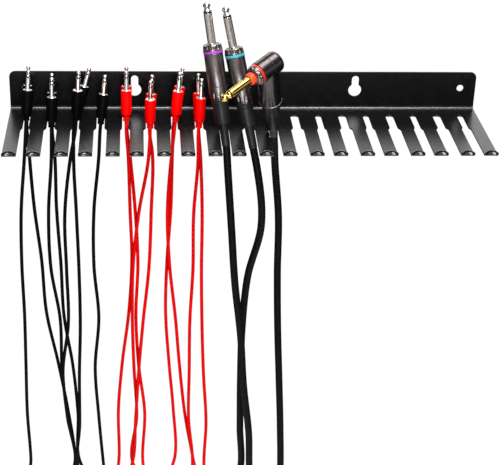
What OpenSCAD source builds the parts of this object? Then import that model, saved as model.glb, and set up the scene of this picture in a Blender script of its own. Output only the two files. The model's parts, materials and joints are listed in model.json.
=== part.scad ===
// Wall rack for hanging audio cables, loaded with eight thin patch cables and
// two instrument cables.  Millimetres.  +X runs along the rack, -Y points away
// from the wall, +Z is up.  The origin lies on the wall face, half way between
// the two keyholes, at the height of their round parts.

/* [Rack sheet] */
// Distance from one cable slot to the next
slot_pitch = 19.05; // [18.8:0.05:19.6]
// Sheet thickness
sheet_t = 1.2; // [1.0:0.1:1.5]
// Height of the back plate above the shelf
plate_h = 31; // [30:0.5:40]
// Reach of the shelf from the wall to the front of the tine lips
shelf_reach = 92.2; // [91:0.2:96]
// Width left outside the first and the last slot
end_tine = 10.5; // [9:0.5:14]
// Radius of the upper plate corners
corner_r = 5; // [3:1:8]
// Inside radius of the long bend
bend_r = 1.4; // [1.0:0.1:2.0]

/* [Tine lips] */
// Height of a lip at its middle, above the shelf
lip_h = 3.6; // [3.0:0.1:4.4]
// Radius of the arched lip top
lip_arch_r = 8.4; // [8:0.1:12]
// Inside radius of the lip bend
lip_bend_r = 0.9; // [0.6:0.1:1.2]

/* [Slots] */
// Distance from the wall to the closed end of a slot
slot_end = 16.1; // [15.6:0.1:16.2]
// Distance from the wall to where a slot starts to widen
step_start = 39.4; // [38:0.2:40]
// Distance from the wall to where a slot has its full width
step_end = 43.2; // [42.4:0.2:43.6]
// Width of the odd slots behind the step
narrow_back = 4.7; // [4.7:0.1:5.2]
// Width of the odd slots in front of the step
narrow_front = 7.36; // [7.36:0.02:7.6]
// Width of the even slots behind the step
wide_back = 6.2; // [6.2:0.1:6.6]
// Width of the even slots in front of the step
wide_front = 9.9; // [9.9:0.1:10.2]

/* [Wall fixing] */
// Half the distance between the two keyholes
key_x = 87.8; // [80:0.2:92]
// Height of the keyhole round part above the shelf
key_z = 15.5; // [14:0.5:17]
// Radius of the keyhole round part, passes a screw head
key_r = 5.2; // [4.5:0.1:5.5]
// Width of the keyhole neck
key_neck = 5.6; // [4.5:0.1:6]
// Height of the keyhole neck end above the shelf
key_top = 27.6; // [26:0.2:28]
// Half the distance between the two end screw holes
hole_x = 173.2; // [170:0.2:176]
// Height of the end screw holes above the shelf
hole_z = 17.4; // [14:0.2:20]
// Radius of the end screw holes
hole_r = 2.75; // [2:0.05:3.2]

/* [Patch cables] */
// Radius of a patch cord
patch_r = 1.4; // [1.0:0.05:1.45]
// Radius of the moulded grip
grip_r = 4.2; // [3.8:0.05:4.2]
// Length of the moulded grip
grip_l = 19.4; // [18:0.2:21]
// Length of the grooved strain relief
relief_l = 5; // [4.6:0.2:5.4]
// Length of a 3.5 mm plug from its flange to its point
mini_l = 15; // [14:0.2:15.4]

/* [Instrument cables] */
// Radius of an instrument cord
cord_r = 3.0; // [2.6:0.05:3.0]
// Length of a 6.35 mm plug from its shoulder to its point
jack_l = 31.7; // [30.6:0.1:31.8]
// Radius of the straight plug shell
shell_r = 7.3; // [7.0:0.1:7.4]
// Radius of the angled plug housing
elbow_r = 8.4; // [8.2:0.1:8.6]
// Travel of the sliding collar on the angled plug
collar_travel = 3.5; // [2.5:0.5:3.5]

/* [Hidden] */
NODES = ["rack_bracket",
  "patch_1_cord", "patch_1_grips", "patch_1_contacts", "patch_1_insulators",
  "patch_2_cord", "patch_2_grips", "patch_2_contacts", "patch_2_insulators",
  "patch_3_cord", "patch_3_grips", "patch_3_contacts", "patch_3_insulators",
  "patch_4_cord", "patch_4_grips", "patch_4_contacts", "patch_4_insulators",
  "patch_5_cord", "patch_5_grips", "patch_5_contacts", "patch_5_insulators",
  "patch_6_cord", "patch_6_grips", "patch_6_contacts", "patch_6_insulators",
  "patch_7_cord", "patch_7_grips", "patch_7_contacts", "patch_7_insulators",
  "patch_8_cord", "patch_8_grips", "patch_8_contacts", "patch_8_insulators",
  "pair_cord", "pair_tips", "pair_insulators", "pair_sleeves", "pair_crowns",
  "pair_shells", "violet_ring", "cyan_ring", "violet_boot", "cyan_boot",
  "angle_cord", "angle_tip", "angle_insulator", "angle_sleeve", "angle_collar",
  "angle_crown", "angle_ring", "angle_shell", "angle_boot",
  "tail_tip", "tail_insulator", "tail_sleeve", "tail_crown", "tail_ring",
  "tail_shell", "tail_boot"];
node = "all";

$fn = 48;
flute_fn = 24;
// how far a cutter reaches past the surface it opens
margin = 1;

black = [0.03, 0.03, 0.035];
red = [0.85, 0.02, 0.02];
steel = [0.78, 0.77, 0.75];
gold = [0.85, 0.65, 0.28];
gunmetal = [0.33, 0.31, 0.31];
violet = [0.55, 0.2, 0.65];
cyan = [0.1, 0.75, 0.85];
ring_red = [0.9, 0.15, 0.08];
collar_orange = [0.9, 0.25, 0.1];

// Everything below is drawn with the shelf top at z = 0, then moved onto the wall.
module on_wall() { translate([0, 0, -key_z]) children(); }

// ---- rack ------------------------------------------------------------------
slot_n = 19;
slot_corner_r = 1.8;
rack_w = (slot_n - 1) * slot_pitch + narrow_front + 2 * end_tine;
// height above the shelf where the lip trim starts
lip_trim_z = 0.9;

function slot_x(i) = (i - (slot_n + 1) / 2) * slot_pitch;
function is_wide(i) = i % 2 == 0;
function front_w(i) = is_wide(i) ? wide_front : narrow_front;
function back_w(i) = is_wide(i) ? wide_back : narrow_back;
// tine i lies between slot i and slot i + 1; the two outermost end at the rack's ends
function tine_left(i) = i == 0 ? -rack_w / 2 : slot_x(i) + front_w(i) / 2;
function tine_right(i) = i == slot_n ? rack_w / 2 : slot_x(i + 1) - front_w(i + 1) / 2;

// lower quarter of a bend in the sheet, on the +X or the -X side of its centre
module bend(inner_r, on_plus_x) {
  outer_r = inner_r + sheet_t;
  intersection() {
    difference() {
      circle(r = outer_r);
      circle(r = inner_r);
    }
    translate([on_plus_x ? 0 : -outer_r - margin, -outer_r - margin])
      square([outer_r + margin, outer_r + margin]);
  }
}

// side view of the bent sheet, with the wall at x = 0
module sheet_profile() {
  bend_outer = bend_r + sheet_t;
  lip_outer = lip_bend_r + sheet_t;
  // plate and long bend
  translate([-sheet_t, bend_r]) square([sheet_t, plate_h - bend_r]);
  translate([-bend_outer, bend_r]) bend(bend_r, true);
  // shelf
  translate([-shelf_reach + lip_outer, -sheet_t])
    square([shelf_reach - lip_outer - bend_outer, sheet_t]);
  // lip bend and lip
  translate([-shelf_reach + lip_outer, lip_bend_r]) bend(lip_bend_r, false);
  translate([-shelf_reach, lip_bend_r]) square([sheet_t, lip_h - lip_bend_r]);
}

// plan view of one slot, closed at the wall side and open at the front
module slot_plan(back, front) {
  overlap = 0.5;
  corner_y = -slot_end - slot_corner_r;
  translate([-back / 2, -step_end]) square([back, step_end - slot_end - slot_corner_r]);
  translate([-back / 2 + slot_corner_r, corner_y - overlap])
    square([back - 2 * slot_corner_r, slot_corner_r + overlap]);
  for (side = [-1, 1]) translate([side * (back / 2 - slot_corner_r), corner_y])
    circle(r = slot_corner_r);
  polygon([[-back / 2, -step_start], [back / 2, -step_start],
           [front / 2, -step_end], [-front / 2, -step_end]]);
  translate([-front / 2, -shelf_reach - 2]) square([front, shelf_reach + 2 - step_end]);
}

// material above the arched top of one lip
module lip_trim(left, right) {
  tine_w = right - left;
  translate([(left + right) / 2, -shelf_reach - margin, 0])
    rotate([-90, 0, 0]) mirror([0, 1, 0])
      linear_extrude(height = sheet_t + lip_bend_r + 1.6)
        difference() {
          translate([-tine_w / 2 - 0.5, lip_trim_z]) square([tine_w + 1, lip_h + 1]);
          translate([0, lip_h - lip_arch_r]) circle(r = lip_arch_r);
        }
}

// cutters through the back plate: drawn as seen from the front, extruded along +Z
plate_cut = sheet_t + 2 * margin;
module through_plate(x, z) {
  translate([x, 0, z]) rotate([90, 0, 0]) translate([0, 0, -margin]) children();
}

module keyhole() {
  neck_r = key_neck / 2;
  neck_h = key_top - key_z - neck_r;
  cylinder(h = plate_cut, r = key_r);
  translate([-neck_r, 0, 0]) cube([key_neck, neck_h, plate_cut]);
  translate([0, neck_h, 0]) cylinder(h = plate_cut, r = neck_r);
}

module plate_corner(side) {
  linear_extrude(height = plate_cut) difference() {
    translate([side > 0 ? -corner_r : -margin, -corner_r])
      square([corner_r + margin, corner_r + margin]);
    translate([-side * corner_r, -corner_r]) circle(r = corner_r);
  }
}

module rack_bracket() {
  color(black) on_wall() difference() {
    translate([-rack_w / 2, 0, 0]) rotate([90, 0, 90])
      linear_extrude(height = rack_w) sheet_profile();
    for (i = [1:slot_n]) translate([slot_x(i), 0, -sheet_t - margin])
      linear_extrude(height = lip_h + sheet_t + 3) slot_plan(back_w(i), front_w(i));
    for (i = [0:slot_n]) lip_trim(tine_left(i), tine_right(i));
    for (side = [-1, 1]) {
      through_plate(side * key_x, key_z) keyhole();
      through_plate(side * hole_x, hole_z) cylinder(h = plate_cut, r = hole_r);
      through_plate(side * rack_w / 2, plate_h) plate_corner(side);
    }
  }
}

// ---- placing ---------------------------------------------------------------
down = [0, 0, -1];

// direction of a plug that leans lean[0] degrees to +X and lean[1] to the wall
function lean_dir(lean) =
  let(along = [tan(lean[0]), tan(lean[1]), 1]) along / norm(along);
module leaning(foot, lean) {
  along = lean_dir(lean);
  translate(foot) rotate(a = acos(along.z), v = [-along.y, along.x, 0]) children();
}

// ---- cords -----------------------------------------------------------------
// longest spacing of the samples along a cord, and the flats round each cord
sample_step = 11;
patch_sides = 8;
instrument_sides = 10;
// height of the first drape level and the step between levels
level_0 = -30;
level_step = -50;

function last(list) = list[len(list) - 1];
function reversed(list) = [for (i = [len(list) - 1:-1:0]) list[i]];

// cubic curve through the points, with tangents from the two nearest chords
function chord(points, i) = norm(points[i + 1] - points[i]);
function tangent(points, i) =
  i == 0 ? (points[1] - points[0]) / chord(points, 0)
  : i == len(points) - 1 ? (points[i] - points[i - 1]) / chord(points, i - 1)
  : let(before = chord(points, i - 1), after = chord(points, i))
    ((points[i + 1] - points[i]) / after * before
     + (points[i] - points[i - 1]) / before * after) / (before + after);
function on_curve(points, i, t) =
  let(span = chord(points, i), t2 = t * t, t3 = t2 * t)
  (2 * t3 - 3 * t2 + 1) * points[i] + (t3 - 2 * t2 + t) * span * tangent(points, i)
  + (3 * t2 - 2 * t3) * points[i + 1] + (t3 - t2) * span * tangent(points, i + 1);
function smooth_path(points) = [
  for (i = [0:len(points) - 2])
    let(n = max(1, ceil(chord(points, i) / sample_step)))
      for (k = [0:n - 1]) on_curve(points, i, k / n),
  last(points)];

// round cord swept along the smooth path through the points
module cord(points, radius, sides) {
  path = smooth_path(points);
  stations = len(path);
  vertices = [
    for (i = [0:stations - 1])
      let(along = path[min(i + 1, stations - 1)] - path[max(i - 1, 0)],
          across = cross(along, [0, 1, 0]) / norm(cross(along, [0, 1, 0])),
          third = cross(along, across) / norm(along))
        for (k = [0:sides - 1])
          let(angle = k * 360 / sides)
            path[i] + radius * (cos(angle) * across + sin(angle) * third)];
  faces = concat(
    [[for (k = [0:sides - 1]) k]],
    [[for (k = [sides - 1:-1:0]) (stations - 1) * sides + k]],
    [for (i = [0:stations - 2]) for (k = [0:sides - 1])
      let(this = i * sides + k, next = i * sides + (k + 1) % sides)
        for (triangle = [[this, this + sides, next], [next, this + sides, next + sides]])
          triangle]);
  polyhedron(points = vertices, faces = faces, convexity = 10);
}

// one hanging strand: sideways drift from its slot and y at each drape level
function strand(slot, drift, depth) = [
  for (i = [0:len(drift) - 1])
    [slot_x(slot) + drift[i], depth[i], level_0 + i * level_step]];
// start of a cord on the plug's axis: inside the plug, at its foot, and outside it
function root(foot, along, inside, outside) =
  [foot + inside * along, foot, foot - outside * along];
// hanging loop that joins the lower ends of two strands
function loop(from, to, half_w, low) =
  let(side = from.x < to.x ? -1 : 1,
      x = (from.x + to.x) / 2,
      y = (from.y + to.y) / 2,
      upper_z = low + 0.45 * (from.z - low),
      lower_z = low + 9)
  [[x + side * half_w, from.y, upper_z],
   [x + side * 0.74 * half_w, from.y + 0.15 * (to.y - from.y), lower_z],
   [x, y, low],
   [x - side * 0.74 * half_w, to.y + 0.15 * (from.y - to.y), lower_z],
   [x - side * half_w, to.y, upper_z]];

// ---- plug tips ---------------------------------------------------------------
// Outlines from the rod outwards and up to the point:
// [radius, height above the front of the sleeve]
mini_tip_l = 5.7;
MINI_TIP = [
  [0.6, 0.8], [1.65, 0.8], [1.75, 1.0], [1.7, 1.5], [1.1, 2.6], [1.05, 3.0],
  [1.6, 3.7], [1.7, 4.2], [1.35, 5.0], [0.75, 5.6], [0.3, mini_tip_l], [0, mini_tip_l]];
jack_tip_l = 8.7;
JACK_TIP = [
  [1.0, 1], [2.9, 1], [3.1, 1.3], [3.0, 1.9], [2.1, 3.3], [1.95, 3.9], [2.1, 4.4],
  [2.85, 5.2], [2.95, 5.7], [2.6, 6.9], [1.7, 8.1], [0.9, 8.6], [0, jack_tip_l]];

// tip with its rod, which starts at rear; gap_z is the front of the sleeve
module plug_tip(outline, gap_z, rear) {
  rod_r = outline[0][0];
  rotate_extrude()
    polygon(concat([[0, rear], [rod_r, rear]], [for (p = outline) [p[0], gap_z + p[1]]]));
}

// ---- patch plugs -------------------------------------------------------------
// distances are along the plug from the underside of its strain relief
relief_r = 2.7;
shank_r = 1.75;
barrel_bore_r = 1.1;
flange_t = 0.5;
grip_top = relief_l + grip_l;
mini_shoulder = grip_top + flange_t;
mini_gap_z = mini_shoulder + mini_l - mini_tip_l;

module mini_grip() {
  difference() {
    rotate_extrude() polygon([
      // grooved strain relief
      [0, 0], [2.2, 0], [2.6, 0.3], [2.65, 1.7], [2.0, 1.85], [2.0, 2.35], [relief_r, 2.5],
      [relief_r, 4.1], [2.1, 4.25], [2.1, relief_l - 0.3], [relief_r, relief_l - 0.2],
      [relief_r, relief_l],
      // grip
      [grip_r - 0.5, relief_l], [grip_r, relief_l + 0.8], [grip_r, grip_top - 0.4],
      [grip_r - 0.4, grip_top], [0, grip_top]]);
    // bores for the cord and for the barrel
    translate([0, 0, -margin]) cylinder(h = 11, r = 1.5);
    translate([0, 0, grip_top - 7]) cylinder(h = 8, r = 2.25);
  }
}

// hollow barrel: hidden root, flange and shank
module mini_barrel() {
  difference() {
    union() {
      translate([0, 0, grip_top - 6.5]) cylinder(h = 6.6, r = 2.2);
      translate([0, 0, grip_top + 0.02]) cylinder(h = flange_t - 0.02, r1 = 3.6, r2 = 3.3);
      translate([0, 0, mini_shoulder - 0.1])
        cylinder(h = mini_gap_z - mini_shoulder + 0.1, r = shank_r);
    }
    translate([0, 0, grip_top - 7]) cylinder(h = 30, r = barrel_bore_r);
  }
}

module mini_contacts() {
  mini_barrel();
  plug_tip(MINI_TIP, mini_gap_z, grip_top - 6);
}

// disc between barrel and tip, and the tube between barrel and rod
module mini_insulator() {
  difference() {
    union() {
      translate([0, 0, mini_gap_z + 0.02]) cylinder(h = 0.76, r = 1.55);
      translate([0, 0, grip_top - 4])
        cylinder(h = mini_gap_z - grip_top + 4.3, r = barrel_bore_r - 0.04);
    }
    translate([0, 0, grip_top - 5]) cylinder(h = 30, r = 0.64);
  }
}

// ---- patch cables ----------------------------------------------------------
// Each row: slot, front end, rear end, half width of the loop, its lowest point.
// Each end: x offset from the slot, y, [lean to +X, lean to the wall],
// sideways drift at each level, y at each level.
// The fourth cable has no rear end in the rack: its other plug hangs free.
PATCH = [
  [1, [-0.3, -27.0, [4.5, 8.0],
       [-3, -8, -10, -10, -11, -12, -11], [-26, -23, -20, -19, -19, -19, -19]],
      [-0.3, -18.2, [3.5, 9.0],
       [0, 2, 6, 8, 16, 23, 28], [-18, -17, -16, -15, -15, -15, -15]],
      20, -372],
  [2, [0.0, -28.4, [2.0, 4.5],
       [-1, -5, -5, 1, 1, 4, 9], [-28, -27, -27, -27, -27, -27, -27]],
      [0.0, -19.4, [1.5, 5.0],
       [1, 1, 3, 4, 10, 13, 13], [-19, -20, -22, -22, -22, -22, -22]],
      14, -392],
  [3, [0.0, -26.2, [4.3, 3.0],
       [-5, -11, -11, -11, -17, -14, -10], [-27, -30, -32, -32, -32, -32, -32]],
      [0.0, -17.5, [16.0, 6.0],
       [-3, -2, -1, -1, -3, -4, -6], [-20, -26, -31, -36, -37, -37, -37]],
      14, -385],
  [4, [-0.2, -22.7, [6.0, 5.5],
       [-2, -7, -8, -5, -9, -7, -4], [-23, -24, -25, -25, -25, -25, -25]],
      [],
      0, -350],
  [5, [0.8, -28.2, [0.6, 8.0],
       [2, 3, 4, 1, -5, -9, -9], [-26, -22, -18, -18, -18, -18, -18]],
      [0.8, -18.4, [0.6, 7.0],
       [3, 7, 9, 7, 9, 14, 12], [-18, -20, -22, -22, -22, -22, -22]],
      13, -396],
  [6, [0.2, -30.0, [0.6, -1.0],
       [-1, -9, -14, -15, -14, -12, -16], [-29, -28, -27, -27, -27, -27, -27]],
      [0.1, -20.8, [2.8, 3.5],
       [2, 1, -1, -6, -10, -13, -17], [-21, -25, -29, -32, -32, -32, -32]],
      13, -384],
  [7, [0.8, -28.2, [5.0, 4.7],
       [-2, -5, -3, 2, 6, 11, 19], [-28, -27, -26, -25, -25, -25, -25]],
      [0.8, -18.4, [8.6, 5.6],
       [-1, -2, -5, -6, -3, 1, 3], [-18, -18, -18, -18, -18, -18, -18]],
      12, -376],
  [8, [0.05, -30.0, [3.0, 5.6],
       [0, -3, -3, -5, -5, -5, -1], [-30, -31, -32, -32, -32, -32, -32]],
      [0.3, -21.0, [-0.7, 8.0],
       [2, 4, 4, 5, 7, 10, 9], [-22, -27, -32, -36, -37, -37, -37]],
      8.5, -398]];

// gap between a standing plug and the shelf
foot_gap = 0.06;
// length of cord laid straight inside and outside a patch plug
patch_root_l = 5;
// sideways shift of the free plug from the last point of its strand
tail_shift = 1;

function cable_slot(cable) = cable[0];
function front_end(cable) = cable[1];
function rear_end(cable) = cable[2];
function has_rear(cable) = len(rear_end(cable)) > 0;
function loop_half_w(cable) = cable[3];
function lowest_z(cable) = cable[4];
function end_lean(end) = end[2];
function end_strand(slot, end) = strand(slot, end[3], end[4]);

// foot of a plug: a relief too wide for its slot stands on the shelf, a relief
// that fits hangs through it and the grip's underside stands on the shelf
function end_foot(slot, end) =
  let(tilt = acos(lean_dir(end_lean(end)).z),
      standing_r = is_wide(slot) ? grip_r : relief_r,
      sunk = is_wide(slot) ? relief_l : 0)
  [slot_x(slot) + end[0], end[1], foot_gap + standing_r * sin(tilt) - sunk];
// foot of the plug that hangs free with its point down
function tail_point(cable) =
  let(hung = last(end_strand(cable_slot(cable), front_end(cable))))
  [hung.x + tail_shift, hung.y, lowest_z(cable)];

// cord points from inside a plug down to the lowest drape level
function patch_lead(slot, end) = concat(
  root(end_foot(slot, end), lean_dir(end_lean(end)), patch_root_l, patch_root_l),
  end_strand(slot, end));
function patch_loop(front, rear, cable) = concat(
  front, loop(last(front), last(rear), loop_half_w(cable), lowest_z(cable)), reversed(rear));
function patch_points(cable) =
  let(front = patch_lead(cable_slot(cable), front_end(cable)))
  has_rear(cable)
  ? patch_loop(front, patch_lead(cable_slot(cable), rear_end(cable)), cable)
  : concat(front, reversed(root(tail_point(cable), down, patch_root_l, patch_root_l)));

module at_end(slot, end) { leaning(end_foot(slot, end), end_lean(end)) children(); }
module at_patch_ends(k) {
  cable = PATCH[k - 1];
  at_end(cable_slot(cable), front_end(cable)) children();
  if (has_rear(cable)) at_end(cable_slot(cable), rear_end(cable)) children();
  else translate(tail_point(cable)) rotate([180, 0, 0]) children();
}

// ---- 6.35 mm plugs -----------------------------------------------------------
// distances are along the plug from the underside of its boot
boot_l = 19;
ring_back = 55.2;
ring_front = 57.3;
shoulder = 62.5;
spout_l = 16.8;
plug_r = 3.175;
gap_z = shoulder + jack_l - jack_tip_l;
// rear ends of the rod and the sleeve inside a straight plug
rod_rear = 46;
sleeve_rear = 45;
// bore of every boot, a loose fit round the cord
cord_bore = 3.08;
// bore of shells and rings, and the radius of the parts that sit in it
bore_r = 5.3;
spigot_r = bore_r - 0.06;
spigot_l = 5;
// radius of the hidden root of a straight plug's sleeve, and its gap in the crown
root_r = 3.6;
sleeve_gap = 0.03;
// cord laid straight inside a straight plug, and past the end of any boot's spout
cord_inside = 40;
cord_past_spout = 1;

// disc behind the tip, and the tube round the rod
module jack_insulator(gap_z, rear) {
  difference() {
    union() {
      translate([0, 0, gap_z + 0.02]) cylinder(h = 0.96, r = 2.95);
      translate([0, 0, rear + 1]) cylinder(h = gap_z - rear - 0.5, r = 1.62);
    }
    translate([0, 0, rear]) cylinder(h = 60, r = 1.04);
  }
}
// sleeve whose rear part, up to inner_top, is thicker or thinner than the bare
// shaft; the thinner of the two runs on inside the other
module jack_sleeve(gap_z, rear, inner_top, inner_r) {
  thick = inner_r > plug_r;
  inner_end = thick ? inner_top : gap_z - 1;
  shaft_start = thick ? rear + 1 : inner_top;
  difference() {
    union() {
      translate([0, 0, rear]) cylinder(h = inner_end - rear, r = inner_r);
      translate([0, 0, shaft_start]) cylinder(h = gap_z - shaft_start, r = plug_r);
    }
    translate([0, 0, rear - margin]) cylinder(h = gap_z - rear + 2 * margin, r = 1.66);
  }
}
// ring of round grooves, one every step degrees
module flutes(step, centre_r, flute_r, start, length) {
  for (angle = [0:step:360 - step]) rotate([0, 0, angle]) translate([centre_r, 0, start])
    cylinder(h = length, r = flute_r, $fn = flute_fn);
}
// fluted nose that carries the sleeve, with the stem the shell slides over;
// front and back are where its visible part ends and starts
module jack_crown(front, back, radius, bore) {
  chamfer_l = 1.2;
  stem_l = 12;
  difference() {
    union() {
      translate([0, 0, back])
        cylinder(h = front - back - chamfer_l, r1 = radius, r2 = radius - 0.5);
      translate([0, 0, front - chamfer_l])
        cylinder(h = chamfer_l, r1 = radius - 0.5, r2 = radius - 2.2);
      translate([0, 0, back - stem_l]) cylinder(h = stem_l + 0.1, r = spigot_r);
    }
    flutes(30, radius + 0.55, 1.3, back + 1.1, front - back);
    translate([0, 0, back - stem_l - margin])
      cylinder(h = front - back + stem_l + 2 * margin, r = bore);
  }
}
module code_ring(back, front, radius) {
  gap = 0.03;
  difference() {
    translate([0, 0, back + gap]) cylinder(h = front - back - 2 * gap, r = radius);
    translate([0, 0, back - margin]) cylinder(h = front - back + 2 * margin, r = bore_r);
  }
}
// tube with two shallow tapers at its boot end
module jack_shell() {
  taper_r = shell_r - 0.25;
  body_start = boot_l + 10.9;
  difference() {
    union() {
      translate([0, 0, boot_l + 0.1]) cylinder(h = 3, r1 = shell_r - 0.7, r2 = taper_r);
      translate([0, 0, boot_l + 3]) cylinder(h = 8, r1 = taper_r, r2 = shell_r);
      translate([0, 0, body_start]) cylinder(h = ring_back - body_start, r = shell_r);
    }
    translate([0, 0, boot_l - margin])
      cylinder(h = ring_back - boot_l + 2 * margin, r = bore_r);
    flutes(40, shell_r + 1.1, 1.7, boot_l + 2.2, 7.5);
  }
}
// rubber boot: spigot inside the shell, skirt, and tapering spout round the cord
module jack_boot(spout_r, end_r) {
  difference() {
    rotate_extrude() polygon([
      [0, -spout_l], [end_r, -spout_l], [spout_r, -0.4], [spout_r, 0], [5.5, 0], [5.8, 0.4],
      [6.3, boot_l - 0.4], [6.1, boot_l], [spigot_r, boot_l],
      [spigot_r, boot_l + spigot_l], [0, boot_l + spigot_l]]);
    translate([0, 0, -spout_l - margin]) cylinder(h = spout_l + boot_l + 7, r = cord_bore);
  }
}

// parts of a straight plug
module straight_tip() { plug_tip(JACK_TIP, gap_z, rod_rear); }
module straight_insulator() { jack_insulator(gap_z, rod_rear); }
module straight_sleeve() { jack_sleeve(gap_z, sleeve_rear, shoulder + 0.3, root_r); }
module straight_crown() {
  jack_crown(shoulder, ring_front, shell_r + 0.2, root_r + sleeve_gap);
}
module straight_ring() { code_ring(ring_back, ring_front, shell_r + 0.25); }

// ---- instrument cable with two straight plugs --------------------------------
violet_foot = [-20.1, -47.2, 6.2];
violet_lean = [-8.6, 12.8];
cyan_foot = [-0.1, -47.2, 3.9];
cyan_lean = [-12.2, 13.3];
violet_strand = strand(9, [3, 7, 11, 17, 21, 27, 30], [-54, -56, -56, -56, -55, -54, -53]);
cyan_strand = strand(10, [7, 12, 3, 0, 0, 1, 2], [-54, -51, -46, -45, -45, -45, -45]);
// [x, y, z] points of the loop below the two strands
PAIR_LOOP = [
  [22, -53, -378], [17, -52, -411], [2, -49, -425], [-13, -46, -411], [-18, -45, -378]];

module at_violet() { leaning(violet_foot, violet_lean) children(); }
module at_cyan() { leaning(cyan_foot, cyan_lean) children(); }
module at_pair() {
  at_violet() children();
  at_cyan() children();
}
function straight_root(foot, along) =
  root(foot, along, cord_inside, spout_l + cord_past_spout);

// ---- instrument cable with one angled plug; its straight plug hangs free -----
angle_foot = [18.5, -47.2, 3.5];
angle_lean = [-8.2, -16.8];
angle_strand = strand(11, [3, 8, 9, 11, 14, 17, 19], [-38, -37, -39, -42, -44, -45, -46]);
tail_foot = [38.05, -46, -358];
// turn about the housing axis, height of the plug axis, and its droop
plug_turn = 38;
plug_h = 58.8;
plug_droop = 3.5;
// height of the housing mouth, and length of the boot's spout
skirt_z = 25.7;
elbow_spout_l = 8;
// distances along the plug axis from the housing axis
elbow_ring_back = 8.6;
elbow_ring_front = 10.8;
nose_front = 14.4;
collar_front = 18.8;
angle_gap_z = nose_front + jack_l - jack_tip_l;
// radius of the seat the collar slides on, and of the collar
seat_r = 3.0;
collar_r = 4.65;

module on_elbow() {
  leaning(angle_foot, angle_lean) rotate([0, 0, plug_turn]) children();
}
// turns +Z onto the angled plug's axis, with the housing axis as its zero
module on_nose() {
  translate([0, 0, plug_h]) rotate([0, -90 - plug_droop, 0]) children();
}
module along_plug() { on_elbow() on_nose() children(); }
module on_tail() { translate(tail_foot) rotate([180, 0, 0]) children(); }

module elbow_shell() {
  rim_h = 1.4;
  // upper end of the rim, less a small overlap
  body_z = skirt_z + rim_h - 0.1;
  difference() {
    union() {
      // upright housing with the rim at its mouth
      translate([0, 0, skirt_z]) cylinder(h = rim_h, r = elbow_r + 0.7);
      translate([0, 0, body_z]) cylinder(h = plug_h - body_z, r1 = elbow_r + 0.3, r2 = elbow_r);
      // head that holds the plug, with a back that narrows in two steps
      on_nose() {
        translate([0, 0, -9]) cylinder(h = 17.5, r = elbow_r);
        translate([0, 0, -10.2]) cylinder(h = 1.3, r1 = elbow_r - 0.5, r2 = elbow_r);
        translate([0, 0, -11.6]) cylinder(h = 1.5, r1 = elbow_r - 2, r2 = elbow_r - 0.5);
      }
    }
    translate([0, 0, skirt_z - margin]) cylinder(h = plug_h - skirt_z + margin, r = bore_r);
    on_nose() translate([0, 0, -8]) cylinder(h = 18, r = bore_r);
    // flat seat of the colour ring
    on_nose() translate([0, 0, elbow_ring_back - 0.15]) cylinder(h = 4, r = 8.6);
  }
}
module elbow_boot() {
  difference() {
    rotate_extrude() polygon([
      [0, -elbow_spout_l], [3.25, -elbow_spout_l], [3.45, -0.4], [3.45, 0], [5.3, 0],
      [5.7, 0.5], [6.4, 16], [6.9, 17.5], [7.2, 24.9], [7.0, skirt_z - 0.1],
      [spigot_r, skirt_z - 0.1], [spigot_r, skirt_z + spigot_l], [0, skirt_z + spigot_l]]);
    translate([0, 0, -elbow_spout_l - margin])
      cylinder(h = elbow_spout_l + skirt_z + 8, r = cord_bore);
  }
}
// fluted nose with the recess that the sliding collar is pushed into
module elbow_nose() {
  difference() {
    jack_crown(nose_front, elbow_ring_front, 7.9, seat_r + sleeve_gap);
    translate([0, 0, nose_front - collar_travel - 0.6]) cylinder(h = 10, r = collar_r + 0.07);
  }
}
module slide_collar() {
  chamfer_z = 17.9;
  difference() {
    union() {
      translate([0, 0, 14.2]) cylinder(h = 3.8, r = collar_r);
      translate([0, 0, chamfer_z])
        cylinder(h = collar_front - chamfer_z, r1 = collar_r, r2 = 3.9);
    }
    translate([0, 0, 13]) cylinder(h = 8, r = seat_r + 0.05);
  }
}

// ---- nodes -------------------------------------------------------------------
// patch cables 1 to 4 are black, 5 to 8 red
function patch_color(k) = k <= 4 ? black : red;
module patch_cord(k) {
  color(patch_color(k)) on_wall() cord(patch_points(PATCH[k - 1]), patch_r, patch_sides);
}
module patch_grips(k) { color(patch_color(k)) on_wall() at_patch_ends(k) mini_grip(); }
module patch_contacts(k) { color(steel) on_wall() at_patch_ends(k) mini_contacts(); }
module patch_insulators(k) { color(black) on_wall() at_patch_ends(k) mini_insulator(); }

module pair_cord() {
  points = concat(
    straight_root(violet_foot, lean_dir(violet_lean)), violet_strand, PAIR_LOOP,
    reversed(cyan_strand), reversed(straight_root(cyan_foot, lean_dir(cyan_lean))));
  color(black) on_wall() cord(points, cord_r, instrument_sides);
}
module pair_tips() { color(steel) on_wall() at_pair() straight_tip(); }
module pair_insulators() { color(black) on_wall() at_pair() straight_insulator(); }
module pair_sleeves() { color(steel) on_wall() at_pair() straight_sleeve(); }
module pair_crowns() { color(gunmetal) on_wall() at_pair() straight_crown(); }
module pair_shells() { color(gunmetal) on_wall() at_pair() jack_shell(); }
module violet_ring() { color(violet) on_wall() at_violet() straight_ring(); }
module cyan_ring() { color(cyan) on_wall() at_cyan() straight_ring(); }
module violet_boot() { color(black) on_wall() at_violet() jack_boot(3.5, 3.25); }
module cyan_boot() { color(black) on_wall() at_cyan() jack_boot(3.6, 3.3); }

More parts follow.
